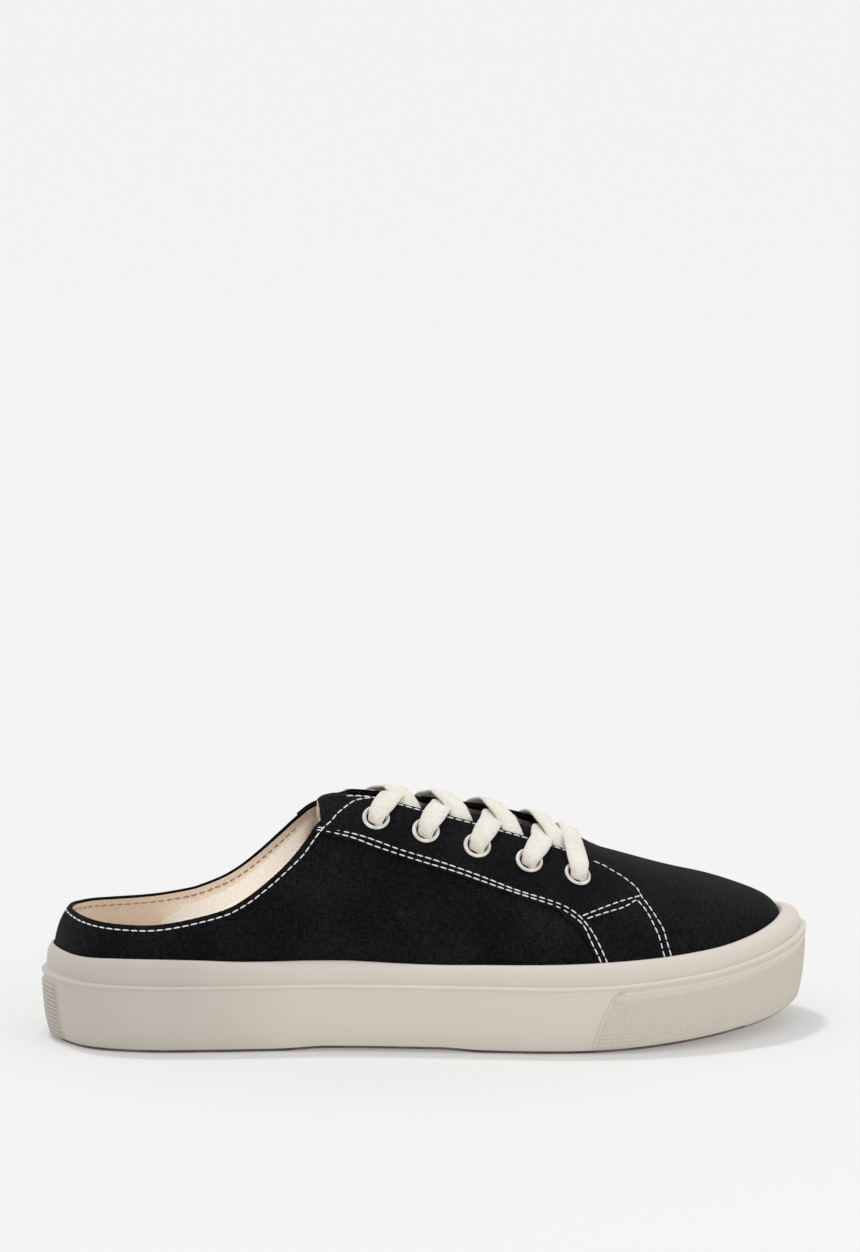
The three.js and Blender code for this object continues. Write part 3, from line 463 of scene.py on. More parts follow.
# ---- The canvas upper ----
# One shell of black cotton canvas over the last, its cut edges folded under at the collar and the
# throat. It is glued down into the cup of the sole.
INSTEP_HEIGHT = 85.4
COLLAR_HEIGHT = 44.0
CROWN = [
    (0.0, 0.68), (0.13, 0.69), (0.25, 0.815), (0.36, 0.995), (0.44, 1.0), (0.55, 0.95),
    (0.66, 0.841), (0.735, 0.731), (0.83, 0.647), (0.92, 0.604), (1.0, 0.62),
]
LEAN = [
    (0.0, 0.0), (0.13, 0.0), (0.25, 0.02), (0.36, 0.06), (0.44, 0.1), (0.55, 0.16),
    (0.66, 0.2), (0.735, 0.2), (0.83, 0.14), (0.92, 0.08), (1.0, 0.06),
]
COLLAR = [
    (-0.1, 0.085), (0.02, 0.064), (0.05, 0.02), (0.09, 0.0), (0.14, 0.0), (0.185, 0.043), (0.235, 0.128),
    (0.26, 0.213), (0.285, 0.33), (0.31, 0.468), (0.33, 0.606), (0.35, 0.766), (0.37, 0.872), (0.39, 0.935),
    (0.43, 1.06),
]
THROAT = [
    (0.3, 0.46), (0.42, 0.48), (0.455, 0.645), (0.485, 0.775), (0.53, 0.89), (0.57, 0.96), (0.62, 1.0),
    (0.68, 1.0), (0.689, 0.965), (0.695, 0.84),
]
INNER_COLLAR = [
    # How much higher the collar stands on the inner side, in millimetres.
    (0.2, 0.0), (0.235, 1.3), (0.26, 2.2), (0.29, 3.7), (0.31, 4.7), (0.33, 4.7), (0.345, 3.4),
    (0.36, 1.6), (0.375, 0.5), (0.39, 0.0),
]
THROAT_HALF = 15.5
THROAT_CENTRE = -1.5
THROAT_FRONT = 0.695 * SOLE_LENGTH
COLLAR_FRONT = 0.425 * SOLE_LENGTH
SPINE_BACK = 0.13
SPINE_FRONT = 0.83
SPINE_SOFTNESS = 0.035
POLE_REACH = 9
POLE_ROUNDS = 14


def soft_rise(d):
    return SPINE_SOFTNESS * np.log1p(np.exp(d / SPINE_SOFTNESS))


def feather(u, side):
    at, out = edge_at(u, side)
    return at - out * rim_width_at(at[..., 0])[..., None]


FEATHER_MID = feather(np.array([0.12]), np.array([1]))[0, 1]


def spine(u):
    a = feather(u, -np.ones_like(u))
    b = feather(u, np.ones_like(u))
    middle = (a[:, 0] + b[:, 0]) / 2 / SOLE_LENGTH
    along = SPINE_BACK + soft_rise(middle - SPINE_BACK) - soft_rise(middle - SPINE_FRONT)
    ends = np.clip(np.minimum(u, 1 - u) / 0.12, 0, 1)
    mid = (a[:, 1] + b[:, 1]) / 2
    back = ends * (FEATHER_MID + (mid - FEATHER_MID) * ends)
    return np.column_stack([along * SOLE_LENGTH, np.where(u < 0.5, back, mid * (0.9 + 0.1 * ends))])


def last_point(u, side, climb):
    """A point on the last: climb is 0 at the feather edge, 1 at the crown and below 0 straight down."""
    foot = feather(u, side)
    top = spine(u)
    rise = np.clip(climb, 0, 1)
    angle = rise * math.pi / 2
    lean = along_table(LEAN, (foot[:, 0] + (top[:, 0] - foot[:, 0]) * rise) / SOLE_LENGTH)
    inward = 1 - np.cos(angle) * (1 - lean * np.sin(angle))
    flat = foot + (top - foot) * inward[:, None]
    start = rim_at(foot[:, 0]) - 2
    crown = INSTEP_HEIGHT * along_table(CROWN, flat[:, 0] / SOLE_LENGTH)
    height = start + (crown - start) * np.sin(angle) + 80 * np.minimum(climb, 0)
    return np.column_stack([flat, height])


def far_stand(p):
    """The inner quarter stands fuller beside the throat than the last: the laces hold it up."""
    beside = np.exp(-(((p[:, 1] - 13) / 7.0) ** 2)) * (p[:, 2] > 50)
    return 2.5 * beside * ease(p[:, 0], 88, 108) * (1 - ease(p[:, 0], 168, 200))


def face_up(bm):
    """Turns a sheet's faces to look up."""
    bmesh.ops.recalc_face_normals(bm, faces=bm.faces)
    if sum(f.normal.z for f in bm.faces) < 0:
        bmesh.ops.reverse_faces(bm, faces=bm.faces)


def last_sheet(columns, rows, skirt=0.0):
    """Cloth laid over the whole last. It keeps the way out at each corner in a layer of its own."""
    def place(along, across):
        turn = (across * 2 - 1) * (1 + skirt)
        return last_point(along, np.where(turn < 0, -1, 1), 1 - np.abs(turn))

    bm = grid_piece(columns, rows, place, merge=0.12)
    pole = Vector(last_point(np.array([1.0]), np.array([1]), np.array([1.0]))[0])
    near = [v for v in bm.verts if (v.co - pole).length < POLE_REACH]
    for _ in range(POLE_ROUNDS):
        bmesh.ops.smooth_vert(bm, verts=near, factor=0.5, use_axis_x=True, use_axis_y=True, use_axis_z=True)
    face_up(bm)
    bm.normal_update()
    way = bm.verts.layers.float_vector.new("way")
    for vert in bm.verts:
        around = sum((e.other_vert(vert).normal for e in vert.link_edges), vert.normal.copy())
        vert[way] = around.normalized()
    lift_cloth(bm, far_stand)
    return bm


def collar_line(x, y=-20.0):
    share = x / SOLE_LENGTH
    inner = along_table(INNER_COLLAR, share) * ease(y, -4, 6)
    return COLLAR_HEIGHT + (INSTEP_HEIGHT - COLLAR_HEIGHT) * along_table(COLLAR, share) + inner


def throat_half(x):
    return THROAT_HALF * along_table(THROAT, x / SOLE_LENGTH)


def over_collar(p, margin=0.0):
    """Above zero over the collar's line, in millimetres."""
    return np.where(p[:, 0] < COLLAR_FRONT, p[:, 2] - collar_line(p[:, 0], p[:, 1]) + margin, -9.0)


def in_throat(p, margin=0.0):
    """Above zero inside the throat, in millimetres."""
    side = throat_half(p[:, 0]) + margin - np.abs(p[:, 1] - THROAT_CENTRE)
    front = THROAT_FRONT + margin - p[:, 0]
    return np.where(p[:, 2] > COLLAR_HEIGHT + 4, np.minimum(side, front), -9.0)


def spots_of(bm):
    return np.array([v.co for v in bm.verts])


def trim(bm, field):
    """Cuts cloth along the line where field is zero and drops the part above zero."""
    value = field(spots_of(bm))
    value[np.abs(value) < 0.04] = 0
    level = dict(zip(bm.verts, value.tolist()))
    crossed = [e for e in bm.edges if level[e.verts[0]] * level[e.verts[1]] < 0]
    for edge in crossed:
        first, second = edge.verts
        _, vert = bmesh.utils.edge_split(edge, first, level[first] / (level[first] - level[second]))
        level[vert] = 0.0
    on_line = [v for v in bm.verts if level[v] == 0]
    bmesh.ops.connect_verts(bm, verts=on_line)
    gone = [f for f in bm.faces if sum(level[v] for v in f.verts) > 0]
    bmesh.ops.delete(bm, geom=gone, context="FACES")


def cut_edges(bm, *fields):
    """The open edges that lie on one of the lines where a field is zero."""
    values = np.array([np.abs(field(spots_of(bm))) < 0.15 for field in fields])
    on_line = dict(zip(bm.verts, values.T.tolist()))
    return [
        e for e in bm.edges
        if len(e.link_faces) == 1 and any(a and b for a, b in zip(on_line[e.verts[0]], on_line[e.verts[1]]))
    ]


def lift_cloth(bm, rise):
    """Moves cloth out along its own way, as far as rise says of each place."""
    way = bm.verts.layers.float_vector["way"]
    for vert, height in zip(bm.verts, rise(spots_of(bm)).tolist()):
        vert.co += vert[way].normalized() * height


def fold_under(bm, edges, radius, steps=5, tuck=0.0):
    """Turns cut edges under in a half round, as cloth is folded before it is sewn."""
    way = bm.verts.layers.float_vector["way"]
    edges = [e for e in edges if e.is_valid]
    outward = {}
    for edge in edges:
        face = edge.link_faces[0]
        along = (edge.verts[1].co - edge.verts[0].co).normalized()
        out = (edge.verts[0].co + edge.verts[1].co) / 2 - face.calc_center_median()
        out -= along * out.dot(along)
        for vert in edge.verts:
            outward[vert] = outward.get(vert, Vector()) + out.normalized() * edge.calc_length()
    home = {v: (v.co.copy(), v[way].normalized(), o.normalized()) for v, o in outward.items()}
    ring = edges
    for k in range(1, steps + 1 + (1 if tuck else 0)):
        made = bmesh.ops.extrude_edge_only(bm, edges=ring)["geom"]
        fresh = [g for g in made if isinstance(g, bmesh.types.BMVert)]
        ring = [g for g in made if isinstance(g, bmesh.types.BMEdge)]
        angle = math.pi * min(k, steps) / steps
        moved = {}
        for vert in fresh:
            before = next(e.other_vert(vert) for e in vert.link_edges if e.other_vert(vert) in home)
            moved[vert] = home[before]
            co, up, out = home[before]
            vert.co = co + out * (radius * math.sin(angle)) - up * (radius * (1 - math.cos(angle)))
            if k > steps:
                vert.co -= out * tuck
        home = moved


CREASES = [
    # From, to, how wide and how deep, in millimetres and seen from above. Below zero is a trough.
    ((214, -10), (240, 22), 7.0, -0.35),
    ((203, 8), (226, 34), 6.0, 0.3),
    ((222, -30), (246, -12), 6.0, 0.3),
    ((196, 10), (212, 26), 5.0, -0.25),
]
SIDE_CREASES = [
    # The same on the outer side and the inner side, as seen from the side: along and up.
    ((66, 36), (74, 47), 4.0, -0.35),
    ((80, 40), (84, 58), 5.0, 0.35),
    ((98, 34), (112, 56), 9.0, 0.4),
    ((124, 34), (150, 50), 9.0, -0.45),
    ((150, 33), (176, 44), 7.0, 0.4),
    ((28, 33), (46, 39), 5.0, -0.3),
]


def near_line(px, py, start, end, wide):
    """How close places are to a line, from 0 far away to 1 on it, with soft ends."""
    (ax, ay), (bx, by) = start, end
    length = math.hypot(bx - ax, by - ay)
    t = ((px - ax) * (bx - ax) + (py - ay) * (by - ay)) / length**2
    away = np.hypot(px - ax - np.clip(t, 0, 1) * (bx - ax), py - ay - np.clip(t, 0, 1) * (by - ay))
    return np.exp(-((away / wide) ** 2))


def crease_rise(p):
    """The canvas's own soft troughs and ridges, which die out at its edges."""
    rise = np.zeros(len(p))
    for start, end, wide, deep in CREASES:
        rise += deep * near_line(p[:, 0], p[:, 1], start, end, wide) * (p[:, 2] > 40)
    for start, end, wide, deep in SIDE_CREASES:
        rise += deep * near_line(p[:, 0], p[:, 2], start, end, wide)
    wobble = np.sin(p[:, 0] * 0.23 + p[:, 2] * 0.11) * np.sin(p[:, 2] * 0.19 - p[:, 1] * 0.13 + 1.3)
    rise += 0.1 * wobble
    edge = ease(-np.maximum(over_collar(p), in_throat(p)), 0, 6)
    foot = ease(p[:, 2] - rim_at(p[:, 0]), -1, 6)
    return rise * edge * foot


def weave_material(name, dark, light, pitch, roughness, fuzz, shine):
    """Plain-woven cotton: uneven yarns both ways, lit fibres on the high ones, and a faint sheen."""
    material, tree, shader = new_material(
        name, dark, roughness, Sheen_Weight=fuzz, Sheen_Roughness=0.45, Specular_IOR_Level=shine
    )
    spot = object_spot(tree)
    slub = noise(tree, spot, 420.0, 5.0)
    scaled = node(tree, "ShaderNodeVectorMath", {0: spot, 1: (1000 / pitch,) * 3}, operation="MULTIPLY")
    apart = node(tree, "ShaderNodeSeparateXYZ", {0: scaled.outputs[0]})
    waves = []
    for along in (apart.outputs["X"], maths(tree, "ADD", apart.outputs["Y"], apart.outputs["Z"])):
        bent = maths(tree, "MULTIPLY_ADD", slub, 1.2, along)
        waves.append(maths(tree, "SINE", maths(tree, "MULTIPLY", bent, math.pi)))
    weave = maths(tree, "MULTIPLY", *waves)
    yarns = []
    for stretch in ((0.16, 1.0, 1.0), (1.0, 0.16, 0.16)):
        drawn = node(tree, "ShaderNodeVectorMath", {0: spot, 1: stretch}, operation="MULTIPLY")
        yarns.append(noise(tree, drawn.outputs[0], 3000.0, 2.0))
    patchy = maths(tree, "MULTIPLY_ADD", noise(tree, spot, 45.0, 4.0), 0.35, maths(tree, "MAXIMUM", *yarns))
    thread = maths(tree, "MULTIPLY_ADD", weave, 0.06, patchy)
    tint(tree, shader, thread, (0.66, dark), (0.98, light))
    relief(tree, shader, (weave, 0.35, 0.0002), (thread, 0.5, 0.0003))
    return material


canvas = weave_material(
    "black_canvas", (0.0028, 0.0028, 0.0034), (0.021, 0.021, 0.0235), 0.55, 0.85, 0.03, 0.06
)
shell = last_sheet(300, 128)
last_tree = BVHTree.FromBMesh(shell)
trim(shell, over_collar)
trim(shell, in_throat)
shell_edges = cut_edges(shell, over_collar, in_throat)
lift_cloth(shell, crease_rise)
fold_under(shell, shell_edges, 0.5)
set_down(shell, "canvas_shell", canvas, slot="canvas", replaces=["upper"])

# ---- The lining ----
# Cream cotton inside the whole upper. Round the heel and along the collar a darker tan copy of the same
# cloth stands in as painted shade. Both are sewn to the canvas along the collar and the throat.
# Painted shade: a tan copy of the cream lining cloth, for the lining's shaded part round the heel and under
# the collar.
lining_shade_cloth = weave_material("tan_shade_paint", (0.82, 0.68, 0.545), (0.90, 0.775, 0.655), 0.5, 0.9, 0.04, 0.3)
lining_cloth = weave_material("cream_lining", (0.86, 0.77, 0.67), (0.94, 0.875, 0.80), 0.5, 0.9, 0.04, 0.3)
LINING_DEPTH = 1.62
FULLNESS = 9.5
# Where the painted shade ends: how far below the collar, and how far from the heel's back, in millimetres.
SHADE_DROP = 4.8
SHADE_BACK = 42.5


def lining_edge(p):
    """The lining's line: just inside the canvas's edge, and just past it at the quarter's back corner."""
    return over_collar(p, -0.25 - 4.0 * ease(p[:, 0], 92, 96) * (1 - ease(p[:, 2], 66, 77)))


def lining_lift(p):
    """The lining lies on the canvas's back, and it is fuller below the collar at the waist."""
    below = collar_line(p[:, 0], p[:, 1]) - p[:, 2]
    waist = np.clip((p[:, 0] - 40) / 9, 0, 1) * (1 - ease(p[:, 0], 90, 99))
    full = np.clip((below - 3.9) / FULLNESS, 0, 1) * waist
    foot = ease(p[:, 2] - rim_at(p[:, 0]), -9, 2)
    return -LINING_DEPTH - FULLNESS * full * foot + 0.8 * np.minimum(crease_rise(p), 0)


def past_painted_shade(p):
    """Above zero below and ahead of the painted shade, where the cream lining starts."""
    below = collar_line(p[:, 0], p[:, 1]) - p[:, 2]
    ahead = p[:, 0] - SHADE_BACK - 7.5 * (1 - ease(below, SHADE_DROP, 10))
    return np.where(p[:, 0] < COLLAR_FRONT, np.minimum(below - SHADE_DROP, ahead), 9.0)


# The second pass cuts the tan painted shade out of a second copy of the lining, round the heel and under the
# collar.
for name, cloth, way_out in (("lining", lining_cloth, -1), ("lining_painted_shade", lining_shade_cloth, 1)):
    inside = last_sheet(240, 110, skirt=0.13)
    trim(inside, lining_edge)
    trim(inside, lambda p: in_throat(p, 0.35))
    trim(inside, lambda p: past_painted_shade(p) * way_out)
    lift_cloth(inside, lining_lift)
    bmesh.ops.reverse_faces(inside, faces=inside.faces)
    set_down(inside, name, cloth, slot="lining")

# ---- The insole ----
# A cream cotton sock over thin foam, laid on the cup's floor, with soft turned-down edges.
SOCK_CLEARANCE = 2.2
SOCK_RISE = 5.3
SOCK_EDGE = 2.6


def open_edges(bm):
    return [e for e in bm.edges if len(e.link_faces) == 1]


def place_insole(along, across):
    sheet = across_the_sole(lambda x: rim_width_at(x) + SOCK_CLEARANCE, lambda x: floor_at(x) + SOCK_RISE)
    spots = sheet(along, across)
    edge = np.minimum(np.minimum(across, 1 - across) * 2, np.minimum(along, 1 - along) * 8)
    spots[:, 2] += -1.6 * (1 - ease(edge, 0, 0.12)) + 0.9 * (1 - ease(edge, 0.1, 0.8)) - 0.4
    return spots


insole = grid_piece(200, 60, place_insole)
face_up(insole)
made = bmesh.ops.extrude_edge_only(insole, edges=open_edges(insole))["geom"]
for vert in (g for g in made if isinstance(g, bmesh.types.BMVert)):
    vert.co.z -= SOCK_EDGE
sock = set_down(insole, "insole_sock", lining_cloth, slot="lining", replaces=["insole"])

# ---- The tongue ----
# A padded tongue of the same canvas, cream inside, sewn in under the throat's front end.
TONGUE = [
    # Along, half its width, how far it is let down, and how far it puffs up.
    (0.354, 0.9, 0.3, 1.0), (0.385, 0.98, 0.3, 0.9), (0.42, 1.0, 0.8, 0.12), (0.46, 1.0, 1.0, 0.0),
    (0.68, 0.93, 1.0, 0.0), (0.715, 0.88, 0.35, 0.0), (0.75, 0.8, 0.35, 0.0),
]
TONGUE_BACK = 0.354
TONGUE_FRONT = 0.75
TONGUE_HALF = 20.5
TONGUE_WALL = 2.2
TONGUE_DROP = 2.0
TONGUE_PUFF = 1.7


def cast(start, heading, lift=0.0):
    """Where a ray first meets the last, lifted off it, and the way out there."""
    spot, way, _, _ = last_tree.ray_cast(Vector(start), Vector(heading))
    return spot + way * lift, way


def on_last(x, y, lift):
    """The place on the last over a point of the plan."""
    return cast((x, y, 300), (0, 0, -1), lift)


def close_ends(bm):
    """Caps a tube's open ends and turns its faces outward."""
    bmesh.ops.holes_fill(bm, edges=open_edges(bm), sides=0)
    bmesh.ops.recalc_face_normals(bm, faces=bm.faces)


def tongue_at(share, k):
    return float(along_table([(row[0], row[k]) for row in TONGUE], share))


def place_tongue(along, around):
    spots = []
    for a, b in zip(along, around):
        share = TONGUE_BACK + (TONGUE_FRONT - TONGUE_BACK) * a
        half = TONGUE_HALF * tongue_at(share, 1)
        drop = TONGUE_DROP * tongue_at(share, 2)
        puff = TONGUE_PUFF * tongue_at(share, 3)
        turn = b * 2 * math.pi
        across = math.copysign(abs(math.cos(turn)) ** 0.75, math.cos(turn))
        depth = math.copysign(abs(math.sin(turn)) ** 0.6, math.sin(turn))
        end = min(1.0, 0.25 + a / 0.02)
        x = (share + 0.012 * max(0, 1 - a / 0.03) * abs(across) ** 6) * SOLE_LENGTH
        reach = min(1, abs(half * across) / (float(throat_half(x)) - 0.3))
        lift = puff * math.cos(reach * math.pi / 2) - drop - 1.9 - TONGUE_WALL / 2 * (1 - depth * end)
        spots.append(on_last(x, THROAT_CENTRE + half * across, lift)[0])
    return spots


tongue = grid_piece(90, 64, place_tongue)
close_ends(tongue)
for face in tongue.faces:
    if face.normal.z < 0.15:
        face.material_index = 1
tongue_pad = set_down(tongue, "tongue_pad", canvas, lining_cloth, slot="canvas", replaces=["tongue"])

# ---- The eyestays and side panels ----
# Strips of the same canvas sewn over the quarters along the throat, and a panel below each at the
# front. Their edges are folded under.
EYESTAY_LINE = [
    (0.3, 0.875), (0.351, 0.853), (0.391, 0.83), (0.43, 0.79), (0.478, 0.741), (0.529, 0.694),
    (0.577, 0.641), (0.629, 0.587), (0.651, 0.561), (0.667, 0.532), (0.681, 0.495), (0.691, 0.435),
    (0.7, 0.37), (0.705, 0.33), (0.7065, 0.28), (0.7075, 0.2),
]
PANEL_LINE = [
    (0.66, 0.506), (0.672, 0.51), (0.687, 0.516), (0.718, 0.532), (0.742, 0.545), (0.763, 0.565),
    (0.83, 0.64),
]
FRONT_EDGE = [
    (0.0, 0.65), (0.2, 0.65), (0.285, 0.7), (0.29, 0.72), (0.32, 0.742), (0.38, 0.76), (0.45, 0.77),
    (0.54, 0.78), (0.65, 0.793), (0.75, 0.799), (1.2, 0.803),
]
OVERLAY_TOP = 0.8
STAY_BACK = 88.0
STAY_BEND = 0.66 * SOLE_LENGTH


def past_front(p):
    """Above zero in front of the quarter's front edge."""
    across = np.abs(p[:, 1] - THROAT_CENTRE) / (BALL_WIDTH / 2)
    keys, values = np.array(FRONT_EDGE).T
    return p[:, 0] - np.interp(across, keys, values) * SOLE_LENGTH


def under_stay(p):
    """Above zero below and behind the eyestay's lower edge."""
    keys, values = np.array(EYESTAY_LINE).T
    line = along_table(EYESTAY_LINE, p[:, 0] / SOLE_LENGTH) * INSTEP_HEIGHT
    ahead = np.interp(-p[:, 2] / INSTEP_HEIGHT, -values, keys) * SOLE_LENGTH
    return np.where(p[:, 0] > STAY_BEND, ahead + 0.9 - p[:, 0], line + 1.3 - p[:, 2])


def under_split(p):
    """Above zero below the line between the eyestay and the side panel."""
    line = along_table(PANEL_LINE, p[:, 0] / SOLE_LENGTH) * INSTEP_HEIGHT
    return np.where(p[:, 0] > STAY_BEND, line - p[:, 2], -9.0)


def overlay(side, *fields):
    """A piece of canvas sewn over the shell on one side, cut by the given lines."""
    bm = last_sheet(300, 128)
    centres = [(f, f.calc_center_median()) for f in bm.faces]
    gone = [f for f, centre in centres if (centre.y - THROAT_CENTRE) * side < 0 or centre.x < STAY_BACK]
    bmesh.ops.delete(bm, geom=gone, context="FACES")
    for field in fields:
        trim(bm, field)
    edges = cut_edges(bm, *fields)
    lift_cloth(bm, lambda p: OVERLAY_TOP + crease_rise(p))
    fold_under(bm, edges, 0.42, steps=4)
    return bm


for side, word in ((-1, "outer"), (1, "inner")):
    stay = overlay(side, past_front, under_stay, under_split, in_throat, over_collar)
    set_down(stay, f"stay_{word}", canvas, slot="overlay_canvas", replaces=[f"eyestay_{word}"])
    panel = overlay(side, past_front, under_stay, lambda p: -under_split(p), in_throat)
    set_down(panel, f"panel_{word}", canvas, slot="overlay_canvas", replaces=[f"side_panel_{word}"])

# ---- The eyelets ----
# Pressed metal eyelets in ivory enamel: a rolled flange on the eyestay and a barrel through it.
# Along, and back from the throat's edge as a share of EYELET_BACK.
EYELETS = [(0.428, 0.97), (0.491, 0.79), (0.556, 0.87), (0.622, 1.0), (0.684, 1.05)]
EYELET_BACK = 8.0
EYELET_SECTION = [
    (3.05, -3.0), (3.1, -0.7), (3.35, -0.15), (3.7, 0.3), (4.05, 0.58), (4.4, 0.6), (4.7, 0.38),
    (4.85, 0.08), (4.85, -0.1), (3.9, -0.1), (3.55, -3.0),
]
enamel, enamel_tree, enamel_shader = new_material("ivory_enamel", (0.80, 0.76, 0.69), 0.3, Coat_Weight=0.3)
enamel_fleck = noise(enamel_tree, object_spot(enamel_tree), 260.0, 4.0)
tint(enamel_tree, enamel_shader, enamel_fleck, (0.3, (0.66, 0.60, 0.52)), (0.6, (0.86, 0.83, 0.77)))


def eyelet_spot(row, side):
    along, back = EYELETS[row]
    x = along * SOLE_LENGTH
    return x, THROAT_CENTRE + side * (float(throat_half(x)) + back * EYELET_BACK)


for side, word in ((-1, "outer"), (1, "inner")):
    for row in range(len(EYELETS)):
        ring = bmesh.new()
        verts = [ring.verts.new((r, 0, z)) for r, z in EYELET_SECTION]
        edges = [ring.edges.new(pair) for pair in zip(verts, verts[1:] + verts[:1])]
        bmesh.ops.spin(
            ring, geom=verts + edges, axis=(0, 0, 1), cent=(0, 0, 0), angle=2 * math.pi, steps=36,
            use_merge=True,
        )
        spot, way = on_last(*eyelet_spot(row, side), OVERLAY_TOP + 0.15)
        ring.transform(Matrix.Translation(spot) @ way.to_track_quat("Z", "Y").to_matrix().to_4x4())
        set_down(
            ring, f"eyelet_ring_{word}_{row + 1}", enamel, slot="eyelet_enamel",
            replaces=[f"eyelet_{word}_{row + 1}"], outward=True,
        )

# ---- The lace ----
# One flat ivory cotton lace, woven as a tube and pressed flat: two strips cross over each gap, and
# one bar lies straight over the front pair. Its ends are out of sight under the top eyelets.
LACE_WIDTH = 8.0
LACE_THICK = 1.7
LACE_RIDE = OVERLAY_TOP + 0.95
FLANGE_RIDE = OVERLAY_TOP + 1.75
TUCKED = -3.0
TUCKED_IN = 3.5
LACE_STEP = 0.55
YARN_PITCH = 1.1


def lace_material():
    """Soft ivory cotton: a herringbone of fine yarns on the lace's own map, darker in the gaps, with painted
    shade and some grime at the eyelet end.
    """
    material, tree, shader = new_material("lace_cotton", (0.84, 0.79, 0.70), 0.85, Sheen_Weight=0.1)
    lay = node(tree, "ShaderNodeUVMap", uv_map="cloth")
    apart = node(tree, "ShaderNodeSeparateXYZ", {0: lay.outputs["UV"]})
    fold = maths(tree, "PINGPONG", apart.outputs["Y"], 0.25)
    slant = maths(tree, "MULTIPLY_ADD", fold, 40.0, apart.outputs["X"])
    weave = maths(tree, "SINE", maths(tree, "MULTIPLY", slant, 2 * math.pi))
    spot = object_spot(tree)
    fluff = noise(tree, spot, 700.0, 5.0)
    # Painted shade with some grime: the first few millimetres of each strip, down in the eyelet, are darkened
    # towards brown.
    eyelet_shade_and_grime = node(
        tree, "ShaderNodeMapRange",
        {"Value": apart.outputs["X"], "From Min": 1.6, "From Max": 6.0, "To Min": -0.7, "To Max": 0.0},
    )
    yarns_and_eyelet_shade = maths(tree, "ADD", maths(tree, "MULTIPLY_ADD", weave, 0.1, fluff), eyelet_shade_and_grime.outputs["Result"])
    tone = maths(tree, "MULTIPLY_ADD", noise(tree, spot, 120.0, 2.0), 0.5, yarns_and_eyelet_shade)
    ramp = tint(tree, shader, tone, (0.5, (0.82, 0.765, 0.66)), (0.95, (0.92, 0.895, 0.82)))
    # This dark brown stop is reached mostly through the painted shade at the eyelet end.
    ramp.color_ramp.elements.new(0.02).color = (0.50, 0.41, 0.31, 1)
    relief(tree, shader, (weave, 0.45, 0.0002), (fluff, 0.4, 0.0002))
    return material


cotton = lace_material()


def along_rows(walk, rows, at):
    """Rows of numbers read on a smooth curve, at distances along their walk."""
    return np.column_stack([along_table(list(zip(walk, column)), at) for column in rows.T])


def lace_strip(start, end, lifts, bow=0.0):
    """A strip of lace between two places of the plan. Lifts gives rows of how far, lift and width."""
    span = math.dist(start, end)
    rows = []
    for d, lift, width in lifts(span):
        x = start[0] + (end[0] - start[0]) * d / span + bow * math.sin(math.pi * min(max(d / 19, 0), 1))
        y = start[1] + (end[1] - start[1]) * d / span
        spot, way = on_last(x, y, lift)
        rows.append((*spot, width, *way))
    rows = np.array(rows, float)
    walk = walked(rows[:, :3], least=0.05)
    rows = along_rows(walk, rows, np.linspace(0, walk[-1], int(walk[-1] / LACE_STEP) + 2))
    heading = Vector((end[0] - start[0], end[1] - start[1], 0)).normalized()

    def place(along, turn):
        row = np.rint(along * (len(rows) - 1)).astype(int)
        spots = np.zeros((len(along), 3))
        for i in range(len(rows)):
            x, y, z, width, *way = rows[i]
            ahead = Vector(rows[min(i + 1, len(rows) - 1)][:3]) - Vector(rows[max(i - 1, 0)][:3])
            side = Vector(way).cross(ahead if ahead.xy.length > 0.5 * ahead.length else heading).normalized()
            up = ahead.cross(side).normalized()
            angle = turn[row == i] * 2 * math.pi
            thick = LACE_THICK * (1 + 0.5 * max(0.0, 1 - width / LACE_WIDTH))
            wide = np.sign(np.cos(angle)) * np.abs(np.cos(angle)) ** 0.6 * width / 2
            tall = np.sign(np.sin(angle)) * np.abs(np.sin(angle)) ** 0.85 * thick / 2
            tall = tall - 0.1 * thick * np.exp(-((wide / 1.2) ** 2)) * (np.sin(angle) > 0)
            spots[row == i] = np.array((x, y, z)) + np.outer(wide, side) + np.outer(tall, up)
        return spots

    strip = grid_piece(len(rows) - 1, 20, place)
    lay = strip.loops.layers.uv["cloth"]
    for face in strip.faces:
        for loop in face.loops:
            loop[lay].uv.x *= len(rows) * LACE_STEP / YARN_PITCH
    close_ends(strip)
    return strip


FROM_EYELET = [
    # How far from the eyelet's centre, how high over the last, and how wide.
    (-2.0, -3.0, 5.1), (-1.75, -1.0, 5.3), (-1.2, 0.8, 5.6), (0.1, 2.2, 6.3),
    (2.0, FLANGE_RIDE + 0.1, 7.3), (4.2, FLANGE_RIDE - 0.2, LACE_WIDTH),
]


def crossing_strip(k, side, over):
    """From an eyelet over the throat and in under the other quarter: over or under the other strip."""
    start = eyelet_spot(k, side)
    end_x = eyelet_spot(k + 1, -side)[0] - 1.6
    end = (end_x, THROAT_CENTRE - side * (float(throat_half(end_x)) + TUCKED_IN))
    here, there = (abs(y - THROAT_CENTRE) for y in (start[1], end[1]))

    def lifts(span):
        leave = span * (here - float(throat_half(start[0]))) / (here + there)
        centre = span * here / (here + there)
        arrive = span * (here + there - TUCKED_IN) / (here + there)
        rows = [(max(6.0, leave - 0.6), LACE_RIDE + 0.15)]
        if over:
            rows += [
                (centre - 0.5 * (centre - leave), LACE_RIDE - 0.1), (centre, 0.75),
                (centre + 0.45 * (arrive - centre), 0.15), (arrive - 2.6, -1.6),
            ]
        else:
            rows += [
                (leave + 2.4, LACE_RIDE - 1.1), (leave + 5.0, -0.9),
                (max(centre, leave + 7.5), -1.75), (arrive - 3.0, -2.6),
            ]
        rows += [(arrive, TUCKED), (span, TUCKED)]
        return FROM_EYELET + [(d, lift, LACE_WIDTH) for d, lift in rows]

    return lace_strip(start, end, lifts, bow=2.6 if over else 2.0)


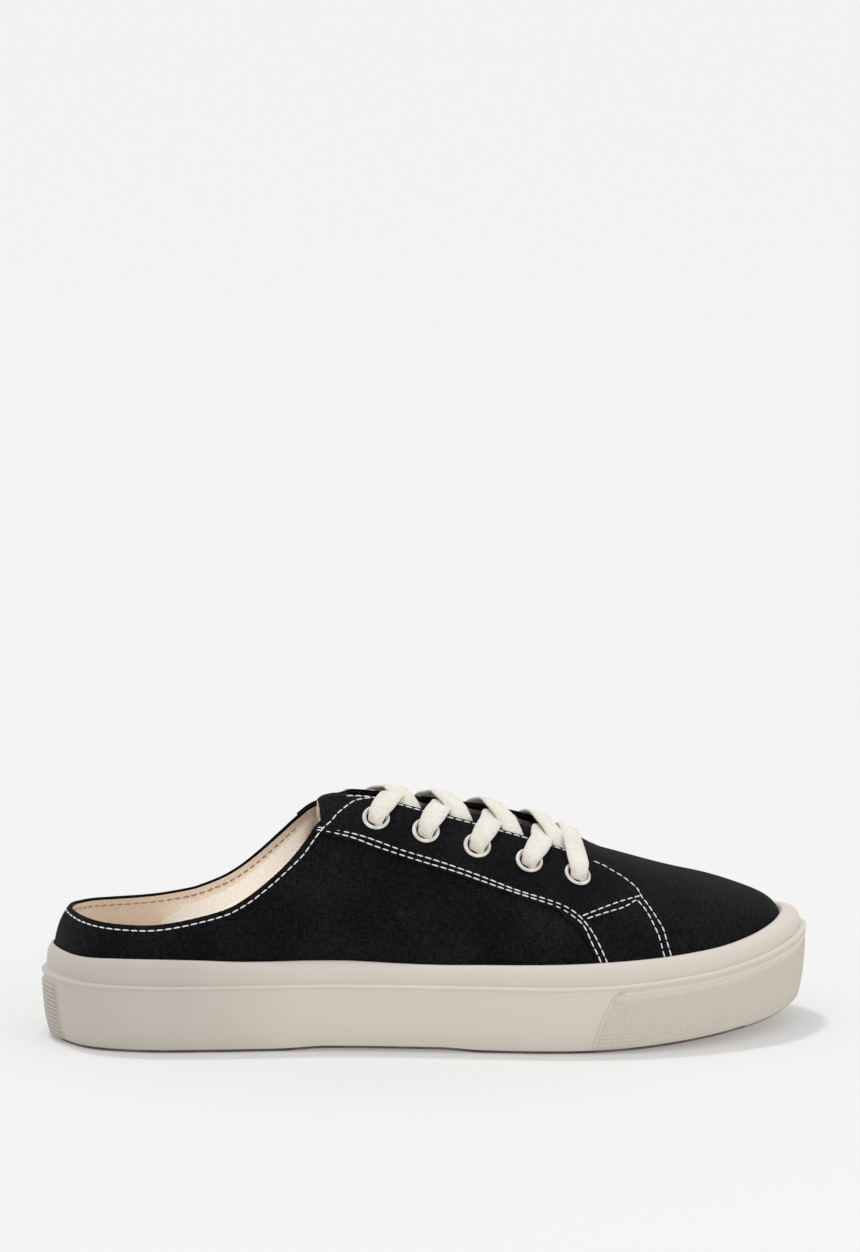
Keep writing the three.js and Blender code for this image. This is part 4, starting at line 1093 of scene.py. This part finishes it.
for k in range(len(EYELETS) - 1):
    pair = joined(crossing_strip(k, -1, False), crossing_strip(k, 1, True))
    set_down(pair, f"lace_{k + 1}", cotton, slot="lace_cotton", replaces=[f"lace_cross_{k + 1}"])


def bar_lifts(span):
    back = [(span - d, lift, width) for d, lift, width in reversed(FROM_EYELET)]
    middle = []
    for share in (0.3, 0.4, 0.5, 0.6, 0.7):
        middle.append((span * share, LACE_RIDE - 0.9 * math.sin(math.pi * share) ** 2, LACE_WIDTH))
    return FROM_EYELET + middle + back


bar = lace_strip(eyelet_spot(4, -1), eyelet_spot(4, 1), bar_lifts)
set_down(bar, "lace_5", cotton, slot="lace_cotton", replaces=["lace_bar"])

# ---- The stitching ----
# White topstitching: about one stitch each three millimetres, each a short length of thick thread
# that dips into the cloth at both ends.
STITCH_PITCH = 3.0
STITCH_LENGTH = 2.7
UPPER_ROW = [
    (95.9, 76.1), (110.3, 73.7), (124, 69.1), (137.3, 65.2), (151, 60.6), (164.3, 55.6), (174.6, 52.4),
    (181.2, 49.8), (185.9, 46.5), (189.8, 41.7), (192.2, 37.2), (194.2, 32.6), (194.7, 31.2),
]
LOWER_ROW = [
    (95.5, 74.8), (106.7, 72.8), (117, 69.2), (130.4, 65), (144.1, 61), (157.4, 56.4), (171.1, 51.9),
    (177.6, 49.6), (182.4, 47), (186.7, 43.4), (189.5, 37.6), (191.8, 32.8), (192.4, 31.2),
]
SADDLE_UPPER = [(186.3, 46.6), (193.5, 48.5), (200.3, 49.9), (205.3, 50.6), (208.3, 50.9)]
SADDLE_LOWER = [(187.9, 45.5), (195.2, 47), (201.8, 48.1), (206.7, 49.8)]
FRONT_ROW = [
    (192.4, -17), (196.3, -17.1), (199.4, -18.2), (202.1, -19.3), (204.7, -21), (207.2, -23.2),
    (208.6, -26.2), (210.4, -28.6), (212.5, -31.5), (214.9, -34.7), (215.9, -37.3), (216.8, -38.9),
]
FRONT_SECOND_ROW = [
    (206.7, 49.8), (209, 47.3), (210.7, 44.6), (212, 41.8), (213.2, 39), (214.6, 33.1), (214.9, 32.0),
]
CORNER_ROW = [(90.7, 67.2), (95.7, 73), (98.6, 76), (100.8, 77.7), (103, 79.8)]


def thread_material(name, colour, roughness, dark, light, bump=0.0, sheen=0.0):
    """Twisted cotton thread in an uneven tone."""
    material, tree, shader = new_material(name, colour, roughness, Sheen_Weight=sheen)
    fluff = noise(tree, object_spot(tree), 1500.0, 3.0)
    tint(tree, shader, fluff, (0.0, dark), (1.0, light))
    if bump:
        relief(tree, shader, (fluff, bump, 0.0001))
    return material


sand_thread = thread_material("sand_thread", (0.36, 0.26, 0.18), 0.7, (0.28, 0.19, 0.12), (0.46, 0.35, 0.25))
white_thread = thread_material(
    "white_thread", (0.85, 0.84, 0.80), 0.6, (0.74, 0.72, 0.68), (0.95, 0.94, 0.91), bump=0.5, sheen=0.1
)

stitch = bmesh.new()
bmesh.ops.create_uvsphere(stitch, u_segments=8, v_segments=6, radius=0.5)
stitch.transform(Matrix.Rotation(math.pi / 2, 4, "Y"))
for vert in stitch.verts:
    dip = 0.28 * (2 * vert.co.x) ** 6
    vert.co = Vector((vert.co.x * STITCH_LENGTH, vert.co.y * 0.52, vert.co.z * 0.5 - dip))
stitch_mesh = bpy.data.meshes.new("stitch")
stitch.to_mesh(stitch_mesh)
stitch.free()


def sew(bm, path, flip=False):
    """Sets stitches along a path of (place, way out) pairs, evenly spaced."""
    places = np.array([p[0] for p in path])
    ways = np.array([p[1] for p in path])
    walk = walked(places)
    count = max(1, round(walk[-1] / STITCH_PITCH))
    at = (np.arange(count) + 0.5) * walk[-1] / count
    read = ((places, at), (places, at + 0.8), (places, at - 0.8), (ways, at))
    for found in zip(*(along_rows(walk, rows, where) for rows, where in read)):
        spot, ahead, behind, up = map(Vector, found)
        run = (ahead - behind).normalized()
        up = (up - run * up.dot(run)).normalized() * (-1 if flip else 1)
        turn = Matrix((run, up.cross(run), up)).transposed().to_4x4()
        before = len(bm.verts)
        bm.from_mesh(stitch_mesh)
        bm.verts.ensure_lookup_table()
        bmesh.ops.transform(bm, matrix=Matrix.Translation(spot) @ turn, verts=bm.verts[before:])


def beside_last(x, z, side, lift):
    """The place on the last's side at a height."""
    return cast((x, side * 300, z), (0, -side, 0), lift)


def side_path(line, side, lift, drop=0.0):
    return [beside_last(x, z + drop, side, lift) for x, z in line]


def plan_path(line, side, lift):
    return [on_last(x, THROAT_CENTRE - side * (y - THROAT_CENTRE), lift) for x, y in line]


def throat_row(places, margin):
    return [(x, THROAT_CENTRE - (float(throat_half(x)) + margin)) for x in places]


def collar_row(side, drop, lift, stop=88.0):
    """A path along the collar from the heel's back, a set drop below its edge."""
    path = []
    for turn in np.radians(np.linspace(180, 128, 8)):
        ahead = (math.cos(turn), side * math.sin(turn), 0)
        x = path[-1][0].x if path else 6.0
        for _ in range(2):
            height = float(collar_line(x, side * 20)) - drop
            spot, way = cast((40, 0, height), ahead)
            x = spot.x
        path.append((spot + way * lift, way))
    for x in np.arange(path[-1][0].x + 3, stop, 4):
        low, here, high = (float(collar_line(x + step, side * 20)) for step in (-1, 0, 1))
        path.append(beside_last(x, here - drop * math.hypot(1, (high - low) / 2), side, lift))
    return path


SIDE_ROWS = [
    # Each row and how far it is moved up or down, so that a pair stays evenly apart.
    (UPPER_ROW, -0.35), (LOWER_ROW, 0.2), (SADDLE_UPPER, -0.1), (SADDLE_LOWER, 0.1), (FRONT_SECOND_ROW, 0),
]
ON_SHELL = 0.08
ON_STAY = OVERLAY_TOP + ON_SHELL
for side, word in ((-1, "outer"), (1, "inner")):
    thread_rows = bmesh.new()
    for line, drop in SIDE_ROWS:
        sew(thread_rows, side_path(line, side, ON_STAY, drop))
    down = [(217.3, 32.2)] if side < 0 else [(217.2, 42), (217.4, 37), (217.3, 32.2)]
    sew(thread_rows, plan_path(FRONT_ROW, side, ON_STAY) + side_path(down, side, ON_STAY))
    turn = CORNER_ROW
    if side > 0:
        turn = [(x, z + float(along_table(INNER_COLLAR, x / SOLE_LENGTH))) for x, z in CORNER_ROW]
    path = collar_row(side, 1.45, ON_SHELL) + side_path(turn[:1], side, ON_SHELL)
    path += side_path(turn[1:], side, ON_STAY)
    path += plan_path([(105.2, -14.2), (107.9, -12.5), (110.3, -11.2)], side, ON_STAY)
    path += plan_path(throat_row(np.linspace(110, 189, 24)[2:], 0.6), side, ON_STAY)
    sew(thread_rows, path)
    sew(thread_rows, plan_path(throat_row((106.5, 109, 112, 115, 118), 0.7), side, ON_STAY))
    set_down(thread_rows, f"stitching_{word}", white_thread, slot="lace_cotton")
    backs = bmesh.new()
    sew(backs, collar_row(side, 2.2, -1.72, stop=91.0), flip=True)
    set_down(backs, f"collar_backstitch_{word}", sand_thread, slot="lace_cotton")

# ---- The studio ----
# A wide pale floor that glows a little, in even white light, with one key light high up behind the
# heel's side. The shadow falls short, towards the toe and the camera.
paper, _, _ = new_material(
    "studio_paper", (0.70, 0.70, 0.70), 1.0,
    Specular_IOR_Level=0.0, Emission_Color=(1, 1, 1, 1), Emission_Strength=0.155,
)
ground = bmesh.new()
bmesh.ops.create_grid(ground, x_segments=2, y_segments=2, size=60.0)
ground_mesh = bpy.data.meshes.new("studio_floor")
ground.to_mesh(ground_mesh)
ground.free()
ground_mesh.materials.append(paper)
put_in_scene("studio_floor", ground_mesh)

world = bpy.data.worlds.new("studio_air")
bpy.context.scene.world = world
world.use_nodes = True
world.node_tree.nodes["Background"].inputs["Color"].default_value = (1, 1, 1, 1)
world.node_tree.nodes["Background"].inputs["Strength"].default_value = 0.79


def lamp(name, kind, power, place, aim):
    light = bpy.data.lights.new(name, kind)
    light.energy = power
    holder = put_in_scene(name, light)
    holder.location = place
    holder.rotation_euler = (Vector(place) - Vector(aim)).to_track_quat("Z", "Y").to_euler()
    return light


key = lamp("key_light", "SUN", 0.85, (-0.19, 0.25, 1.0), (0, 0, 0))
key.angle = math.radians(6)
front = lamp("front_fill", "AREA", 3.2, (1.0, -1.3, 0.7), (0.0, 0.0, 0.03))
front.size = 1.1
collar_spot = lamp("collar_spot", "SPOT", 15.0, (-0.42, -0.66, 0.62), (-0.064, 0.024, 0.05))
collar_spot.spot_size = math.radians(3.8)
collar_spot.spot_blend = 0.5
collar_spot.shadow_soft_size = 0.02
lit_inside = bpy.data.collections.new("lit_inside")
for name in ("lining", "lining_painted_shade", "insole_sock"):
    lit_inside.objects.link(bpy.data.objects[name])
bpy.data.objects["collar_spot"].light_linking.receiver_collection = lit_inside

camera_data = bpy.data.cameras.new("photo_camera")
camera_data.lens = 125.0
camera_data.sensor_width = 36.0
camera_data.clip_end = 200.0
camera = put_in_scene("photo_camera", camera_data)
camera.location = (-0.13132, -1.50096, 0.37526)
camera.rotation_euler = (math.radians(81.263), 0, math.radians(-5.033))
bpy.context.scene.camera = camera
bpy.context.scene.view_settings.view_transform = "Standard"

bpy.context.view_layer.update()
